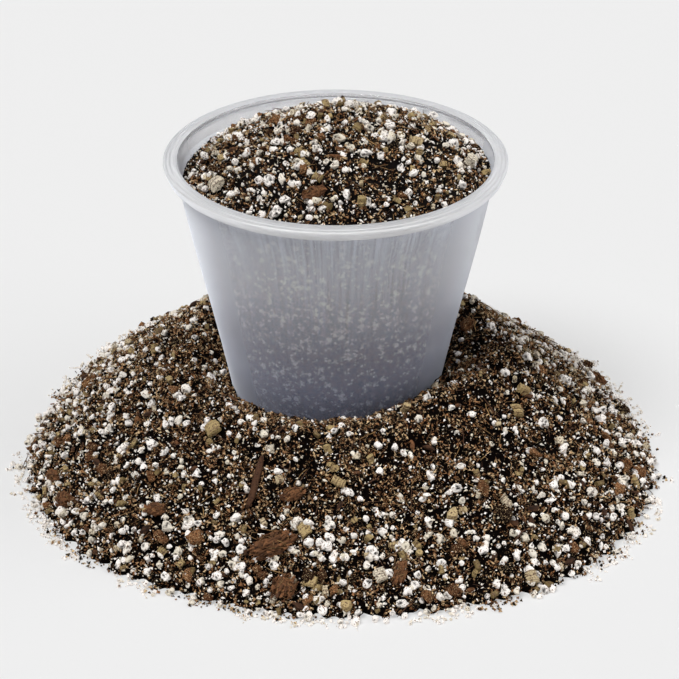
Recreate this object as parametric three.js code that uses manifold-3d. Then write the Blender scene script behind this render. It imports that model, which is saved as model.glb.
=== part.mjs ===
// A frosted plant pot heaped with potting mix, standing in a mound of the same mix.
// Millimetres, +Z up. The origin is on the pot's axis, at the flat underside of the mound.
import * as THREE from "three";
import { mergeVertices } from "three/addons/utils/BufferGeometryUtils.js";
import Module from "manifold-3d";

const wasm = await Module();
wasm.setup();

// Pot
const rimDiameter = 140; // over the lip
const mouthDiameter = 128; // inside the lip
const baseDiameter = 81.6; // outside, at the underside
const potHeight = 115;
const wallThickness = 1.2;
const floorThickness = 1.6;
const baseTaper = 0.185; // outward lean of the wall at the base, mm for each mm up
const mouthTaper = 0.13; // outward lean at the mouth
const baseCurve = 50; // height over which the wall leaves the lean of the base
const mouthCurve = 30; // height over which it comes to the lean of the mouth
const baseRound = 3; // rounded corner between the underside and the wall
const mouthRound = 0.6; // rounded inner edge of the mouth
const lipDepth = 4; // height of the lip's turned-down edge
const lipThickness = 1.4;
const lipDrop = 0.7; // fall of the lip's top from the mouth to its edge
const lipLean = 1.5; // how far the turned-down edge leans in towards the wall
const lipRound = 0.6; // rounded outer edge of the lip

// Mix in the pot
const fillEdgeDrop = 6.5; // the mix's edge below the rim
const fillPeak = 18; // the mix's peak above the rim
const fillFullness = 1.7; // 1 makes a cone, 2 a rounded dome
const fillLean = 0.9; // how much fuller the dome is on its right

// Mound, with each reach measured from the pot's axis to the foot
const leftReach = 130;
const rightReach = 135;
const frontReach = 129;
const backReach = 158;
const footWave = 4; // how far the foot's outline wanders
const footHeight = 2; // the foot is one grain thick
const crownHeight = 88; // where the flanks would meet if no pot stood there
const crownRound = 0.28; // how round that crown is, as a share of the reach
const frontSlump = 15; // how much lower the crown is for the front flank
const crownLean = 3; // how much higher it is for the right flank, and lower for the left
const bedDepth = 27; // mix under the pot
const contactHeight = 42; // mix against the pot's wall, above the underside
const bankRise = 8; // how much higher the mix leans on the wall at its right front
const bankAngle = -40; // degrees from +X
const bankSpread = 34; // degrees
const hollowSlope = 0.7; // rise of the hollow's side, mm for each mm out from the wall
const ridgeRound = 9; // rounding between the hollow and the flank

// Surface of the mix
const clodHeight = 2.2; // how far the clods stand up or fall back
const clodSize = 20;
const roughness = 1.6; // how far the grains stand up or fall back
const grainSize = 6.5; // coarse grains, those that are fused to the surface among them
const moundGrains = 104;
const fillGrains = 24;
const moundZone = { inside: 0.12, outside: 0.93 }; // where its grains lie, from the pot's wall to the foot
const fillZone = { inside: 0.1, outside: 0.88 }; // where its grains lie, from the axis to the wall
const sink = 0.38; // share of a loose piece's thickness that lies below the surface

// Clearances
const seat = 0.3; // between the pot, the mix and the loose pieces
const apart = 1.5; // least room between a fused grain and a loose piece
const cornerGrid = 0.001; // corners closer than this are one

// Fineness of the faceted surfaces
const potSegments = 48;
const fillSegments = 48;
const moundSegments = 92;
const wallSteps = 7;
const domeRings = 10;
const bedRings = 2;
const flankRings = 18;

const rimRadius = rimDiameter / 2;
const mouthRadius = mouthDiameter / 2;
const baseRadius = baseDiameter / 2;
const goldenAngle = Math.PI * (3 - Math.sqrt(5));
const degree = Math.PI / 180;

// Loose pieces that stand out, by their place: angle in degrees from +X, and share of the way out.
// On the mound the share runs from the pot's wall to the foot, and in the pot from the axis to the wall.
const standouts = [
  { kind: "twig", on: "mound", angle: -113, share: 0.47, spin: 76, size: [25, 2.6, 2.4] },
  { kind: "bark", on: "mound", angle: -104, share: 0.73, spin: 18, size: [20, 11, 7] },
  { kind: "bark", on: "mound", angle: -100, share: 0.89, spin: 60, size: [12, 10, 8] },
  { kind: "bark", on: "mound", angle: -77, share: 0.82, spin: 75, size: [9, 5, 4] },
  { kind: "bark", on: "mound", angle: 26, share: 0.9, spin: 20, size: [8, 6.5, 5] },
  { kind: "bark", on: "mound", angle: 203, share: 0.9, spin: 110, size: [9, 8, 5] },
  { kind: "vermiculite", on: "mound", angle: 225, share: 0.32, spin: 15, size: [10, 6, 5] },
  { kind: "vermiculite", on: "mound", angle: -97, share: 0.63, spin: 35, size: [7.5, 6, 5] },
  { kind: "vermiculite", on: "mound", angle: -89, share: 0.44, spin: 80, size: [6.5, 6, 5] },
  { kind: "vermiculite", on: "mound", angle: -62, share: 0.62, spin: 55, size: [7.5, 6.5, 5] },
  { kind: "vermiculite", on: "mound", angle: -25, share: 0.4, spin: 25, size: [8.5, 5.5, 4.5] },
  { kind: "vermiculite", on: "mound", angle: -88, share: 0.95, spin: 10, size: [6.5, 6, 4.5] },
  { kind: "vermiculite", on: "mound", angle: -95, share: 0.85, spin: 60, size: [6.5, 5.5, 4.5] },
  { kind: "vermiculite", on: "mound", angle: -53, share: 0.94, spin: 20, size: [7, 5.5, 4.5] },
  { kind: "perlite", on: "mound", angle: -58, share: 0.52, spin: 0, size: [6, 5.6, 5] },
  { kind: "perlite", on: "mound", angle: -84, share: 0.86, spin: 40, size: [5.6, 5.4, 5] },
  { kind: "perlite", on: "mound", angle: 226, share: 0.9, spin: 70, size: [6.4, 5.8, 5] },
  { kind: "vermiculite", on: "fill", angle: 204, share: 0.84, spin: 30, size: [9, 6.5, 5] },
  { kind: "vermiculite", on: "fill", angle: -7, share: 0.86, spin: 70, size: [7.5, 7, 5] },
  { kind: "perlite", on: "fill", angle: -8, share: 0.35, spin: 15, size: [6.2, 5, 4.6] },
  { kind: "perlite", on: "fill", angle: 160, share: 0.17, spin: 65, size: [6, 5.4, 4.8] },
  { kind: "perlite", on: "fill", angle: -114, share: 0.77, spin: 20, size: [6, 5.4, 4.8] },
];

// The other loose pieces that show one by one, spread evenly round the mound and over the fill.
const spreadKinds = ["perlite", "perlite", "vermiculite", "perlite", "bark"];
const spreadSizes = {
  perlite: [5.4, 5, 4.6],
  vermiculite: [6.4, 5.4, 4.4],
  bark: [9, 5.5, 4],
};
const moundSpread = 16;
const fillSpread = 7;

const materials = {
  pot: new THREE.MeshStandardMaterial({ color: 0xc9cbd2, roughness: 0.4, metalness: 0 }),
  mix: new THREE.MeshStandardMaterial({ color: 0x33241c, roughness: 0.95, metalness: 0 }),
  perlite: new THREE.MeshStandardMaterial({ color: 0xe9e4df, roughness: 0.9, metalness: 0 }),
  vermiculite: new THREE.MeshStandardMaterial({ color: 0xa9936a, roughness: 0.75, metalness: 0 }),
  bark: new THREE.MeshStandardMaterial({ color: 0x6b4226, roughness: 0.9, metalness: 0 }),
  twig: new THREE.MeshStandardMaterial({ color: 0x3d2a1e, roughness: 0.9, metalness: 0 }),
};

// A repeatable stream of numbers from 0 to 1
function randomStream(seed) {
  let state = seed;
  return () => {
    state = (Math.imul(state, 1664525) + 1013904223) >>> 0;
    return state / 4294967296;
  };
}

function at(radius, height) {
  return new THREE.Vector2(radius, height);
}

function rounded(from, corner, to, steps) {
  return new THREE.QuadraticBezierCurve(from, corner, to).getPoints(steps);
}

// Solid of a closed geometry, for joining and cutting. Its corners are rounded so that those of a seam meet.
function solidOf(geometry) {
  const bare = geometry.index ? geometry.toNonIndexed() : geometry.clone();
  bare.deleteAttribute("normal");
  bare.deleteAttribute("uv");
  const places = bare.attributes.position.array;
  places.forEach((place, i) => {
    places[i] = Math.round(place / cornerGrid) * cornerGrid;
  });
  const merged = mergeVertices(bare, cornerGrid / 10);
  const corners = merged.index.array;
  const triVerts = [];
  for (let i = 0; i < corners.length; i += 3) {
    const [a, b, c] = corners.slice(i, i + 3);
    if (a !== b && b !== c && c !== a) {
      triVerts.push(a, b, c);
    }
  }
  return new wasm.Manifold(
    new wasm.Mesh({
      numProp: 3,
      vertProperties: Float32Array.from(merged.attributes.position.array),
      triVerts: Uint32Array.from(triVerts),
    }),
  );
}

function geometryOf(solid) {
  const mesh = solid.getMesh();
  const geometry = new THREE.BufferGeometry();
  geometry.setAttribute("position", new THREE.BufferAttribute(mesh.vertProperties, 3));
  geometry.setIndex(new THREE.BufferAttribute(mesh.triVerts, 1));
  geometry.computeVertexNormals();
  return geometry;
}

// The main body of a cut solid, without any crumb that the cut set loose
function mainBody(solid) {
  return solid.decompose().reduce((best, piece) => (piece.volume() > best.volume() ? piece : best));
}

// Turns a section, given as radius and height from the axis up to the axis again, round the Z axis
function turned(section, segments) {
  return new THREE.LatheGeometry(section, segments).rotateX(Math.PI / 2);
}

// Pot
const wallCurve = new THREE.CubicBezierCurve(
  at(baseRadius, 0),
  at(baseRadius + baseTaper * baseCurve, baseCurve),
  at(mouthRadius + wallThickness - mouthTaper * mouthCurve, potHeight - mouthCurve),
  at(mouthRadius + wallThickness, potHeight),
);

// Outer radius of the pot's wall at a height above its underside
function wallRadius(height) {
  let low = 0;
  let high = 1;
  for (let i = 0; i < 40; i += 1) {
    const middle = (low + high) / 2;
    if (wallCurve.getPoint(middle).y < height) {
      low = middle;
    } else {
      high = middle;
    }
  }
  return wallCurve.getPoint(low).x;
}

// Points up or down the wall, set in from its outside
function wallLine(from, to, inset) {
  return Array.from({ length: wallSteps + 1 }, (_, i) => {
    const height = THREE.MathUtils.lerp(from, to, i / wallSteps);
    return at(wallRadius(height) - inset, height);
  });
}

// Rounded corner between the underside and the wall, grown outwards by a clearance
function baseCorner(growth) {
  const radius = baseRadius + growth;
  const foot = at(radius - baseRound, -growth);
  return rounded(foot, at(radius, -growth), at(wallRadius(baseRound) + growth, baseRound), 3);
}

function potSection() {
  const edgeTop = potHeight - lipDrop;
  const edgeFoot = edgeTop - lipDepth;
  const root = edgeTop - lipThickness;
  return [
    at(0, 0),
    ...baseCorner(0),
    ...wallLine(baseRound, root, 0),
    at(rimRadius - lipThickness, root),
    at(rimRadius - lipThickness - lipLean, edgeFoot),
    at(rimRadius - lipLean, edgeFoot),
    ...rounded(
      at(rimRadius, edgeTop - lipRound),
      at(rimRadius, edgeTop),
      at(rimRadius - lipRound, edgeTop),
      2,
    ),
    ...rounded(
      at(mouthRadius + mouthRound, potHeight),
      at(mouthRadius, potHeight),
      at(wallRadius(potHeight - mouthRound) - wallThickness, potHeight - mouthRound),
      2,
    ),
    ...wallLine(potHeight - mouthRound, floorThickness, wallThickness),
    at(0, floorThickness),
  ];
}

function makePot() {
  return geometryOf(solidOf(turned(potSection(), potSegments)));
}

// Smooth noise from -1 to 1 over a plane, one swing for each unit
function noise(x, y) {
  const column = Math.floor(x);
  const row = Math.floor(y);
  const height = (i, j) => {
    const wave = Math.sin(127.1 * (column + i) + 311.7 * (row + j)) * 43758.5453;
    return 2 * (wave - Math.floor(wave)) - 1;
  };
  const across = THREE.MathUtils.smoothstep(x - column, 0, 1);
  const along = THREE.MathUtils.smoothstep(y - row, 0, 1);
  const near = THREE.MathUtils.lerp(height(0, 0), height(1, 0), across);
  const far = THREE.MathUtils.lerp(height(0, 1), height(1, 1), across);
  return THREE.MathUtils.lerp(near, far, along);
}

// Uneven height of a surface of mix
function uneven(x, y) {
  return clodHeight * noise(x / clodSize, y / clodSize) + roughness * noise(x / grainSize, y / grainSize);
}

// Mix in the pot, in the pot's own frame
const fillEdge = potHeight - fillEdgeDrop;
const fillRadius = wallRadius(fillEdge) - wallThickness - seat;

function fillHeight(x, y) {
  const share = Math.min(Math.hypot(x, y) / fillRadius, 1);
  const fullness = fillFullness + (fillLean * x) / fillRadius;
  const dome = fillEdge + (fillPeak + fillEdgeDrop) * (1 - share ** fullness);
  return dome + uneven(x, y) * (1 - share ** 4);
}

function makeFill() {
  const bottom = floorThickness + seat;
  const dome = Array.from({ length: domeRings }, (_, i) => {
    return at(fillRadius * (1 - (i + 1) / domeRings), potHeight);
  });
  const section = [at(0, bottom), ...wallLine(bottom, fillEdge, wallThickness + seat), ...dome];
  const geometry = turned(section, fillSegments);
  const points = geometry.attributes.position;
  for (let i = 0; i < points.count; i += 1) {
    if (points.getZ(i) > fillEdge + seat) {
      points.setZ(i, fillHeight(points.getX(i), points.getY(i)));
    }
  }
  return solidOf(geometry);
}

// Mound
function footRadius(angle) {
  const across = Math.cos(angle) > 0 ? rightReach : leftReach;
  const along = Math.sin(angle) > 0 ? backReach : frontReach;
  const oval = 1 / Math.hypot(Math.cos(angle) / across, Math.sin(angle) / along);
  const broad = 0.5 * Math.sin(2 * angle + 2.9) + 0.4 * Math.sin(3 * angle + 3.6);
  const fine = 0.2 * Math.sin(8 * angle + 2.1);
  return oval + footWave * (broad + fine);
}

// Height of the mix against the pot's wall
function contactLevel(angle) {
  const turn = THREE.MathUtils.euclideanModulo(angle / degree - bankAngle + 180, 360) - 180;
  return contactHeight + bankRise * Math.exp(-((turn / bankSpread) ** 4));
}

function smoothLesser(a, b, rounding) {
  const mix = THREE.MathUtils.clamp(0.5 + (0.5 * (b - a)) / rounding, 0, 1);
  return THREE.MathUtils.lerp(b, a, mix) - rounding * mix * (1 - mix);
}

function moundHeight(x, y) {
  const angle = Math.atan2(y, x);
  const distance = Math.hypot(x, y);
  const share = Math.min(distance / footRadius(angle), 1);
  const fall = (Math.hypot(share, crownRound) - crownRound) / (Math.hypot(1, crownRound) - crownRound);
  const slump = frontSlump * Math.max(-Math.sin(angle), 0) ** 2;
  const crown = crownHeight - slump + crownLean * Math.cos(angle);
  const heap = footHeight + (crown - footHeight) * (1 - fall);
  const level = contactLevel(angle);
  const out = Math.max(distance - wallRadius(level - bedDepth), 0);
  const hollowed = smoothLesser(heap, level + hollowSlope * out, ridgeRound);
  return hollowed + uneven(x, y) * (1 - share ** 6);
}

// Distance from the axis at a share of the way from the pot's wall to the foot
function flankDistance(angle, share) {
  return THREE.MathUtils.lerp(wallRadius(contactLevel(angle) - bedDepth), footRadius(angle), share);
}

function makeMound() {
  const inner = baseRadius / Math.max(rightReach, leftReach, frontReach, backReach);
  const bed = Array.from({ length: bedRings }, (_, i) => (inner * i) / bedRings);
  const flank = Array.from({ length: flankRings + 1 }, (_, i) => inner + ((1 - inner) * i) / flankRings);
  const rings = [...bed, ...flank].reverse();
  const section = [at(0, 0), at(1, 0), ...rings.map((share) => at(share, 1))];
  const geometry = turned(section, moundSegments);
  const points = geometry.attributes.position;
  for (let i = 0; i < points.count; i += 1) {
    const reach = footRadius(Math.atan2(points.getY(i), points.getX(i)));
    const x = points.getX(i) * reach;
    const y = points.getY(i) * reach;
    points.setXYZ(i, x, y, points.getZ(i) > 0.5 ? moundHeight(x, y) : 0);
  }
  return solidOf(geometry);
}

// Hollow that the pot stands in, in the pot's own frame
function makeSocket() {
  const section = [
    at(0, -seat),
    ...baseCorner(seat),
    ...wallLine(baseRound, potHeight, -seat),
    at(0, potHeight),
  ];
  return solidOf(turned(section, potSegments));
}

// Surfaces that the pieces lie on, in the object's frame, with the distance from the axis at a share outwards
const surfaces = {
  mound: {
    height: moundHeight,
    distance: flankDistance,
    grains: moundGrains,
    zone: moundZone,
  },
  fill: {
    height: (x, y) => bedDepth + fillHeight(x, y),
    distance: (angle, share) => fillRadius * share,
    grains: fillGrains,
    zone: fillZone,
  },
};

// Place on a surface, turned so that its own Z axis stands square to the surface
function placeOn(surface, angle, share, spin, thickness) {
  const distance = surface.distance(angle, share);
  const x = distance * Math.cos(angle);
  const y = distance * Math.sin(angle);
  const step = grainSize / 2;
  const slopeX = (surface.height(x + step, y) - surface.height(x - step, y)) / (2 * step);
  const slopeY = (surface.height(x, y + step) - surface.height(x, y - step)) / (2 * step);
  const normal = new THREE.Vector3(-slopeX, -slopeY, 1).normalize();
  const upright = new THREE.Quaternion().setFromUnitVectors(new THREE.Vector3(0, 0, 1), normal);
  const turn = new THREE.Quaternion().setFromAxisAngle(new THREE.Vector3(0, 0, 1), spin);
  const position = new THREE.Vector3(x, y, surface.height(x, y));
  position.addScaledVector(normal, thickness * (0.5 - sink));
  return { position, quaternion: upright.multiply(turn) };
}

// Outline of a broken chip: a ring of corners at uneven distances
function chipOutline(length, width, corners, seed) {
  const random = randomStream(seed);
  const ring = Array.from({ length: corners }, (_, i) => {
    const angle = (2 * Math.PI * (i + 0.3 * random())) / corners;
    const reach = 0.86 + 0.14 * random();
    return at((reach * length * Math.cos(angle)) / 2, (reach * width * Math.sin(angle)) / 2);
  });
  return new THREE.Shape(ring);
}

// A flat chip with its edges broken off, centred on its own middle
function makeChip([length, width, thickness], corners, seed) {
  const edge = thickness / 4;
  const outline = chipOutline(length - 2 * edge, width - 2 * edge, corners, seed);
  const geometry = new THREE.ExtrudeGeometry(outline, {
    depth: thickness - 2 * edge,
    bevelThickness: edge,
    bevelSize: edge,
    bevelSegments: 1,
  });
  return geometry.translate(0, 0, edge - thickness / 2);
}

const pieceMakers = {
  perlite: ([length, width, thickness], seed) => {
    const geometry = new THREE.IcosahedronGeometry(0.5, 1);
    const points = geometry.attributes.position;
    for (let i = 0; i < points.count; i += 1) {
      const point = new THREE.Vector3().fromBufferAttribute(points, i);
      const lump = Math.sin(9 * point.x + seed) * Math.sin(8 * point.y - seed) * Math.sin(7 * point.z + seed);
      point.multiplyScalar(0.93 + 0.07 * lump);
      points.setXYZ(i, point.x * length, point.y * width, point.z * thickness);
    }
    return geometry;
  },
  vermiculite: (size, seed) => makeChip(size, 6, seed),
  bark: (size, seed) => makeChip(size, 8, seed),
  twig: ([length, width, thickness]) => {
    const route = new THREE.CatmullRomCurve3([
      new THREE.Vector3(-length / 2, 0, 0),
      new THREE.Vector3(-length / 6, width / 5, 0),
      new THREE.Vector3(length / 6, -width / 5, 0),
      new THREE.Vector3(length / 2, 0, 0),
    ]);
    const round = new THREE.Shape().absellipse(0, 0, thickness / 2, width / 2, 0, 2 * Math.PI);
    return new THREE.ExtrudeGeometry(round, { extrudePath: route, steps: 6, curveSegments: 7 });
  },
};

// Share outwards that spreads places evenly over a zone, at a way from 0 to 1 through them
function evenShare({ inside, outside }, way) {
  return Math.sqrt(THREE.MathUtils.lerp(inside ** 2, outside ** 2, way));
}

function spreadPieces(on, count) {
  return Array.from({ length: count }, (_, i) => {
    const kind = spreadKinds[i % spreadKinds.length];
    return {
      kind,
      on,
      angle: ((i + 0.5) * goldenAngle) / degree,
      share: evenShare(surfaces[on].zone, (i + 0.5) / count),
      spin: (i * goldenAngle) / degree,
      size: spreadSizes[kind],
    };
  });
}

// Loose pieces, each a mesh seated in a pocket of the surface that it lies on
function makePieces() {
  const counts = {};
  const planned = [...standouts, ...spreadPieces("mound", moundSpread), ...spreadPieces("fill", fillSpread)];
  return planned.map((piece, index) => {
    counts[piece.kind] = (counts[piece.kind] ?? 0) + 1;
    const geometry = geometryOf(solidOf(pieceMakers[piece.kind](piece.size, index + 1)));
    const mesh = new THREE.Mesh(geometry, materials[piece.kind]);
    mesh.name = `${piece.kind}_${String(counts[piece.kind]).padStart(2, "0")}`;
    const [angle, spin] = [piece.angle * degree, piece.spin * degree];
    const place = placeOn(surfaces[piece.on], angle, piece.share, spin, piece.size[2]);
    mesh.position.copy(place.position);
    mesh.quaternion.copy(place.quaternion);
    mesh.updateMatrixWorld();
    const growth = piece.size.map((side) => (side + 2 * seat) / side);
    const pocket = solidOf(geometry.clone().scale(...growth).applyMatrix4(mesh.matrixWorld));
    return { mesh, pocket, on: piece.on, reach: Math.max(...piece.size) / 2 };
  });
}

// Coarse grains that are one with the surface, left out where a loose piece lies
function makeGrains(on, pieces) {
  const surface = surfaces[on];
  const random = randomStream(surface.grains);
  const grains = [];
  for (let i = 0; i < surface.grains; i += 1) {
    const angle = i * goldenAngle + 0.6 * random();
    const share = evenShare(surface.zone, (i + 0.2 + 0.6 * random()) / surface.grains);
    const size = grainSize * (0.7 + 0.6 * random());
    const flatness = 0.6 + 0.4 * random();
    const place = placeOn(surface, angle, share, 2 * Math.PI * random(), 0);
    const clear = pieces.every(({ mesh, reach }) => {
      return mesh.position.distanceTo(place.position) > reach + size / 2 + apart;
    });
    if (clear) {
      const shape = new THREE.Vector3(1, flatness, 0.8);
      const seated = new THREE.Matrix4().compose(place.position, place.quaternion, shape);
      grains.push(solidOf(new THREE.IcosahedronGeometry(size / 2, 0).applyMatrix4(seated)));
    }
  }
  return grains;
}

// Assembly
const object = new THREE.Group();
const pieces = makePieces();

function addMesh(parent, name, geometry, material) {
  const mesh = new THREE.Mesh(geometry, material);
  mesh.name = name;
  parent.add(mesh);
}

// Mix with its coarse grains joined on, and its socket and pockets cut out
function finished(body, on, cuts) {
  const pockets = pieces.filter((piece) => piece.on === on).map((piece) => piece.pocket);
  const rough = makeGrains(on, pieces).reduce((whole, grain) => whole.add(grain), body);
  return geometryOf(mainBody([...cuts, ...pockets].reduce((whole, cut) => whole.subtract(cut), rough)));
}

const socket = makeSocket().translate([0, 0, bedDepth]);
addMesh(object, "mound", finished(makeMound(), "mound", [socket]), materials.mix);

const potGroup = new THREE.Group();
potGroup.position.z = bedDepth;
addMesh(potGroup, "pot", makePot(), materials.pot);
object.add(potGroup);

addMesh(object, "pot_mix", finished(makeFill().translate([0, 0, bedDepth]), "fill", []), materials.mix);

for (const { mesh } of pieces) {
  object.add(mesh);
}

export default object;
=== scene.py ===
"""A frosted plant pot heaped with potting mix, in a mound of the same mix, dressed for rendering."""
import math

import bmesh
import bpy
import numpy as np
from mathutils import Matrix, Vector
from mathutils.bvhtree import BVHTree
from mathutils.kdtree import KDTree


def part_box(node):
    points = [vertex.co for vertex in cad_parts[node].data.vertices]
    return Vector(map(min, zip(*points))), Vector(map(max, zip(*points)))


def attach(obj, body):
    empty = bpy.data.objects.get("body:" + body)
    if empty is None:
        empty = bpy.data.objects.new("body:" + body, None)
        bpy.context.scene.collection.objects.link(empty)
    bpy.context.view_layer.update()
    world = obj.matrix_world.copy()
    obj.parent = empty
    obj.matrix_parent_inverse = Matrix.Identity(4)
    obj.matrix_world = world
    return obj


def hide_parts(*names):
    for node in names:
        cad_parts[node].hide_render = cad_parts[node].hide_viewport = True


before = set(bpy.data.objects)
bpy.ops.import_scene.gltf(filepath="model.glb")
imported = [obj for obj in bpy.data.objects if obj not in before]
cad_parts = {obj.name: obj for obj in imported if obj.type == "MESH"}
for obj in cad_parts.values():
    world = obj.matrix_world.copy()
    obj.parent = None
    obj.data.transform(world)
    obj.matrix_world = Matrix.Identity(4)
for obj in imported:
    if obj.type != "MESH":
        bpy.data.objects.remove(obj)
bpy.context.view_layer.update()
POT_LOW, POT_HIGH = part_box("pot")

bl_info = {
    "name": "Pot of potting mix",
    "version": (1, 0, 0),
    "blender": (4, 5, 0),
    "location": "3D View > Sidebar > Potting Mix",
    "description": "Dresses the pot, its fill and the mound with moulded plastic, grains and a studio",
    "category": "Object",
}

MM = 0.001
BODY = "root"
BAKE_MAP = "OFBake"
GOLDEN_ANGLE = math.pi * (3 - math.sqrt(5))
PLASTIC_IOR = 1.3


def srgb(code):
    """Linear colour of a screen colour, given as a hexadecimal number."""
    parts = [(code >> shift & 255) / 255 for shift in (16, 8, 0)]
    return tuple(p / 12.92 if p <= 0.04045 else ((p + 0.055) / 1.055) ** 2.4 for p in parts)


# Settings

def length(name, description, default):
    return bpy.props.FloatProperty(
        name=name, description=description, default=default, unit="LENGTH", precision=5
    )


def share(name, description, default):
    return bpy.props.FloatProperty(
        name=name, description=description, default=default, min=0, max=1, subtype="FACTOR"
    )


def number(name, description, default):
    return bpy.props.IntProperty(name=name, description=description, default=default, min=0)


def amount(name, description, default):
    return bpy.props.FloatProperty(name=name, description=description, default=default)


def angle(name, description, default):
    return bpy.props.FloatProperty(
        name=name, description=description, default=math.radians(default), subtype="ANGLE"
    )


def colour(name, description, default):
    return bpy.props.FloatVectorProperty(
        name=name, description=description, default=srgb(default), size=3, min=0, max=1, subtype="COLOR"
    )


class PotSettings(bpy.types.PropertyGroup):
    """Sizes and finish of the moulded pot."""

    wall: length("Wall", "Thickness of the pot's wall", 1.2 * MM)
    floor: length("Floor", "Thickness of the pot's floor", 1.6 * MM)
    base_round: length("Base round", "Rounded corner between underside and wall", 3 * MM)
    lip_thickness: length("Lip thickness", "Thickness of the lip and its turned-down edge", 1.4 * MM)
    lip_depth: length("Lip depth", "Height of the turned-down edge", 4 * MM)
    lip_drop: length("Lip drop", "Fall of the lip's top from the mouth to its edge", 0.7 * MM)
    lip_lean: length("Lip lean", "How far the turned-down edge leans in", 1.5 * MM)
    edge_round: length("Edge round", "Rounded edges of the lip", 0.4 * MM)
    segments: number("Segments", "Facets round the pot", 160)
    plastic: colour("Plastic", "Colour of the frosted plastic", 0xF7F9FF)
    # Painted shade with a blue tint: the wall's colour near its foot, darker as well as bluer than the
    # plastic.
    shade: colour("Shade", "Colour of the plastic near its foot", 0x92A5E2)
    lip: colour("Lip", "Colour of the lip", 0xFBFBFD)
    clearness: share("Clearness", "How much light passes the wall's outside near its foot", 0.87)
    top_clearness: share("Top clearness", "How much light passes the wall's outside below the lip", 0.84)
    lip_clearness: share("Lip clearness", "How much light passes the lip", 0.52)
    lip_spread: share("Lip spread", "Share of the light that spreads in the lip's plastic", 0.9)
    lip_gloss: share("Lip gloss", "Strength of the gloss on the lip", 0.8)
    mouth_clearness: share("Mouth clearness", "How much light passes the band inside the mouth", 0.93)
    inner_clearness: share("Inner clearness", "How much light passes the inside of the wall", 1.0)
    frosting: share("Frosting", "Roughness of the wall", 0.26)
    sheen: share("Sheen", "Strength of the haze along the pot's sides", 0.9)
    sheen_tint: colour("Sheen tint", "Colour of that haze", 0xECF0FB)


class MixSettings(bpy.types.PropertyGroup):
    """Grain counts and colours of the potting mix."""

    seed: number("Seed", "Seed of the grains' places and shapes", 7)
    splinters: number("Splinters", "Peat splinters on the mound", 62000)
    crumbs: number("Crumbs", "Peat crumbs on the mound", 50000)
    clods: number("Clods", "Clods of peat on the mound", 110)
    specks: number("Specks", "Small perlite grains on the mound", 8800)
    beads: number("Beads", "Perlite beads on the mound", 1180)
    nuggets: number("Nuggets", "Large perlite beads on the mound", 70)
    chips: number("Chips", "Vermiculite chips on the mound", 280)
    bark: number("Bark", "Bark chips on the mound", 120)
    rolled: number("Rolled beads", "Perlite beads that rolled down to the mound's foot", 190)
    dust: number("Dust", "Crumbs that lie round the mound's foot", 2000)
    fibres: number("Fibres", "Fibres on the mound", 600)
    fill_share: share("Fill share", "Grains on the fill, as a share of those on the mound", 0.29)
    pressed: colour("Pressed grains", "Pale grains behind the pot's wall", 0xBFB399)
    # Painted glow: the milky light of the frosted wall, painted on the fill behind the wall's upper part.
    painted_glow: colour("Pressed haze", "Dust behind the upper part of the pot's wall", 0xD6D9E0)
    peat_dark: colour("Dark peat", "Darkest crumbs", 0x0A0605)
    peat: colour("Peat", "Most crumbs", 0x64432D)
    peat_brown: colour("Brown peat", "Lighter crumbs", 0xAB7A52)
    peat_light: colour("Light peat", "Lightest splinters", 0xE6C79B)
    perlite: colour("Perlite", "Clean perlite", 0xFFF9F3)
    perlite_cream: colour("Cream perlite", "Stained perlite", 0xE4DAC6)
    vermiculite: colour("Vermiculite", "Tan chips", 0xA38E60)
    vermiculite_gold: colour("Golden vermiculite", "Golden chips", 0xB49C6C)
    vermiculite_olive: colour("Olive vermiculite", "Dull chips", 0x6E5C36)
    bark_orange: colour("Orange bark", "Freshly broken bark", 0x8A5E3E)
    bark_dark: colour("Dark bark", "Weathered bark", 0x4E3424)
    fibre: colour("Fibre", "Golden fibres", 0xB48F5C)


class StageSettings(bpy.types.PropertyGroup):
    """Camera, light and backdrop."""

    lens: amount("Lens", "Focal length in millimetres", 191.34)
    distance: length("Distance", "From the camera to the point it aims at", 1.5)
    pitch: angle("Pitch", "How far the camera looks down", 27.4)
    aim_side: length("Aim side", "Place of the aim to the right of the pot's axis", 1.54 * MM)
    aim_height: length("Aim height", "Height of the aim", 58.54 * MM)
    backdrop: colour("Backdrop", "Colour of floor and background", 0xECECEC)
    sky: amount("Sky", "Strength of the even light", 0.14)
    key: amount("Key", "Strength of the soft key light", 2.5)
    key_spread: angle("Key spread", "How soft the key light is", 25)
    key_height: angle("Key height", "Height of the key light above the horizon", 58)
    key_side: angle("Key side", "How far to the left of the camera it stands", 46)
    side: amount("Side", "Strength of the soft side light", 1.32)
    side_spread: angle("Side spread", "How soft the side light is", 60)
    side_height: angle("Side height", "Height of the side light above the horizon", 34)
    side_turn: angle("Side turn", "How far to the right of the camera it stands", 80)
    shadow_fade: share("Shadow fade", "How far the shadow on the floor is faded", 0.5)


# Arrays

def full_turn(count):
    """Angles that divide a full turn evenly."""
    return 2 * math.pi * np.arange(count) / count


def polar(radius, turn):
    """X and Y of places by their distance from the axis and their angle round it."""
    return radius * np.cos(turn), radius * np.sin(turn)


def unit(vectors):
    """The vectors, each brought to length 1."""
    return vectors / np.linalg.norm(vectors, axis=1, keepdims=True)


def between(values, i, j, s, t):
    """Values between neighbours in a grid, s of the way along its rows and t of the way across them."""
    near = values[j, i] * (1 - s) + values[j, i + 1] * s
    far = values[j + 1, i] * (1 - s) + values[j + 1, i + 1] * s
    return near * (1 - t) + far * t


# Solids of the frame

def tree_of(node):
    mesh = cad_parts[node].data
    return BVHTree.FromPolygons([v.co for v in mesh.vertices], [p.vertices for p in mesh.polygons])


def points_of(node):
    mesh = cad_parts[node].data
    places = np.empty(len(mesh.vertices) * 3, np.float32)
    mesh.vertices.foreach_get("co", places)
    return places.reshape(-1, 3).astype(float)


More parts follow.
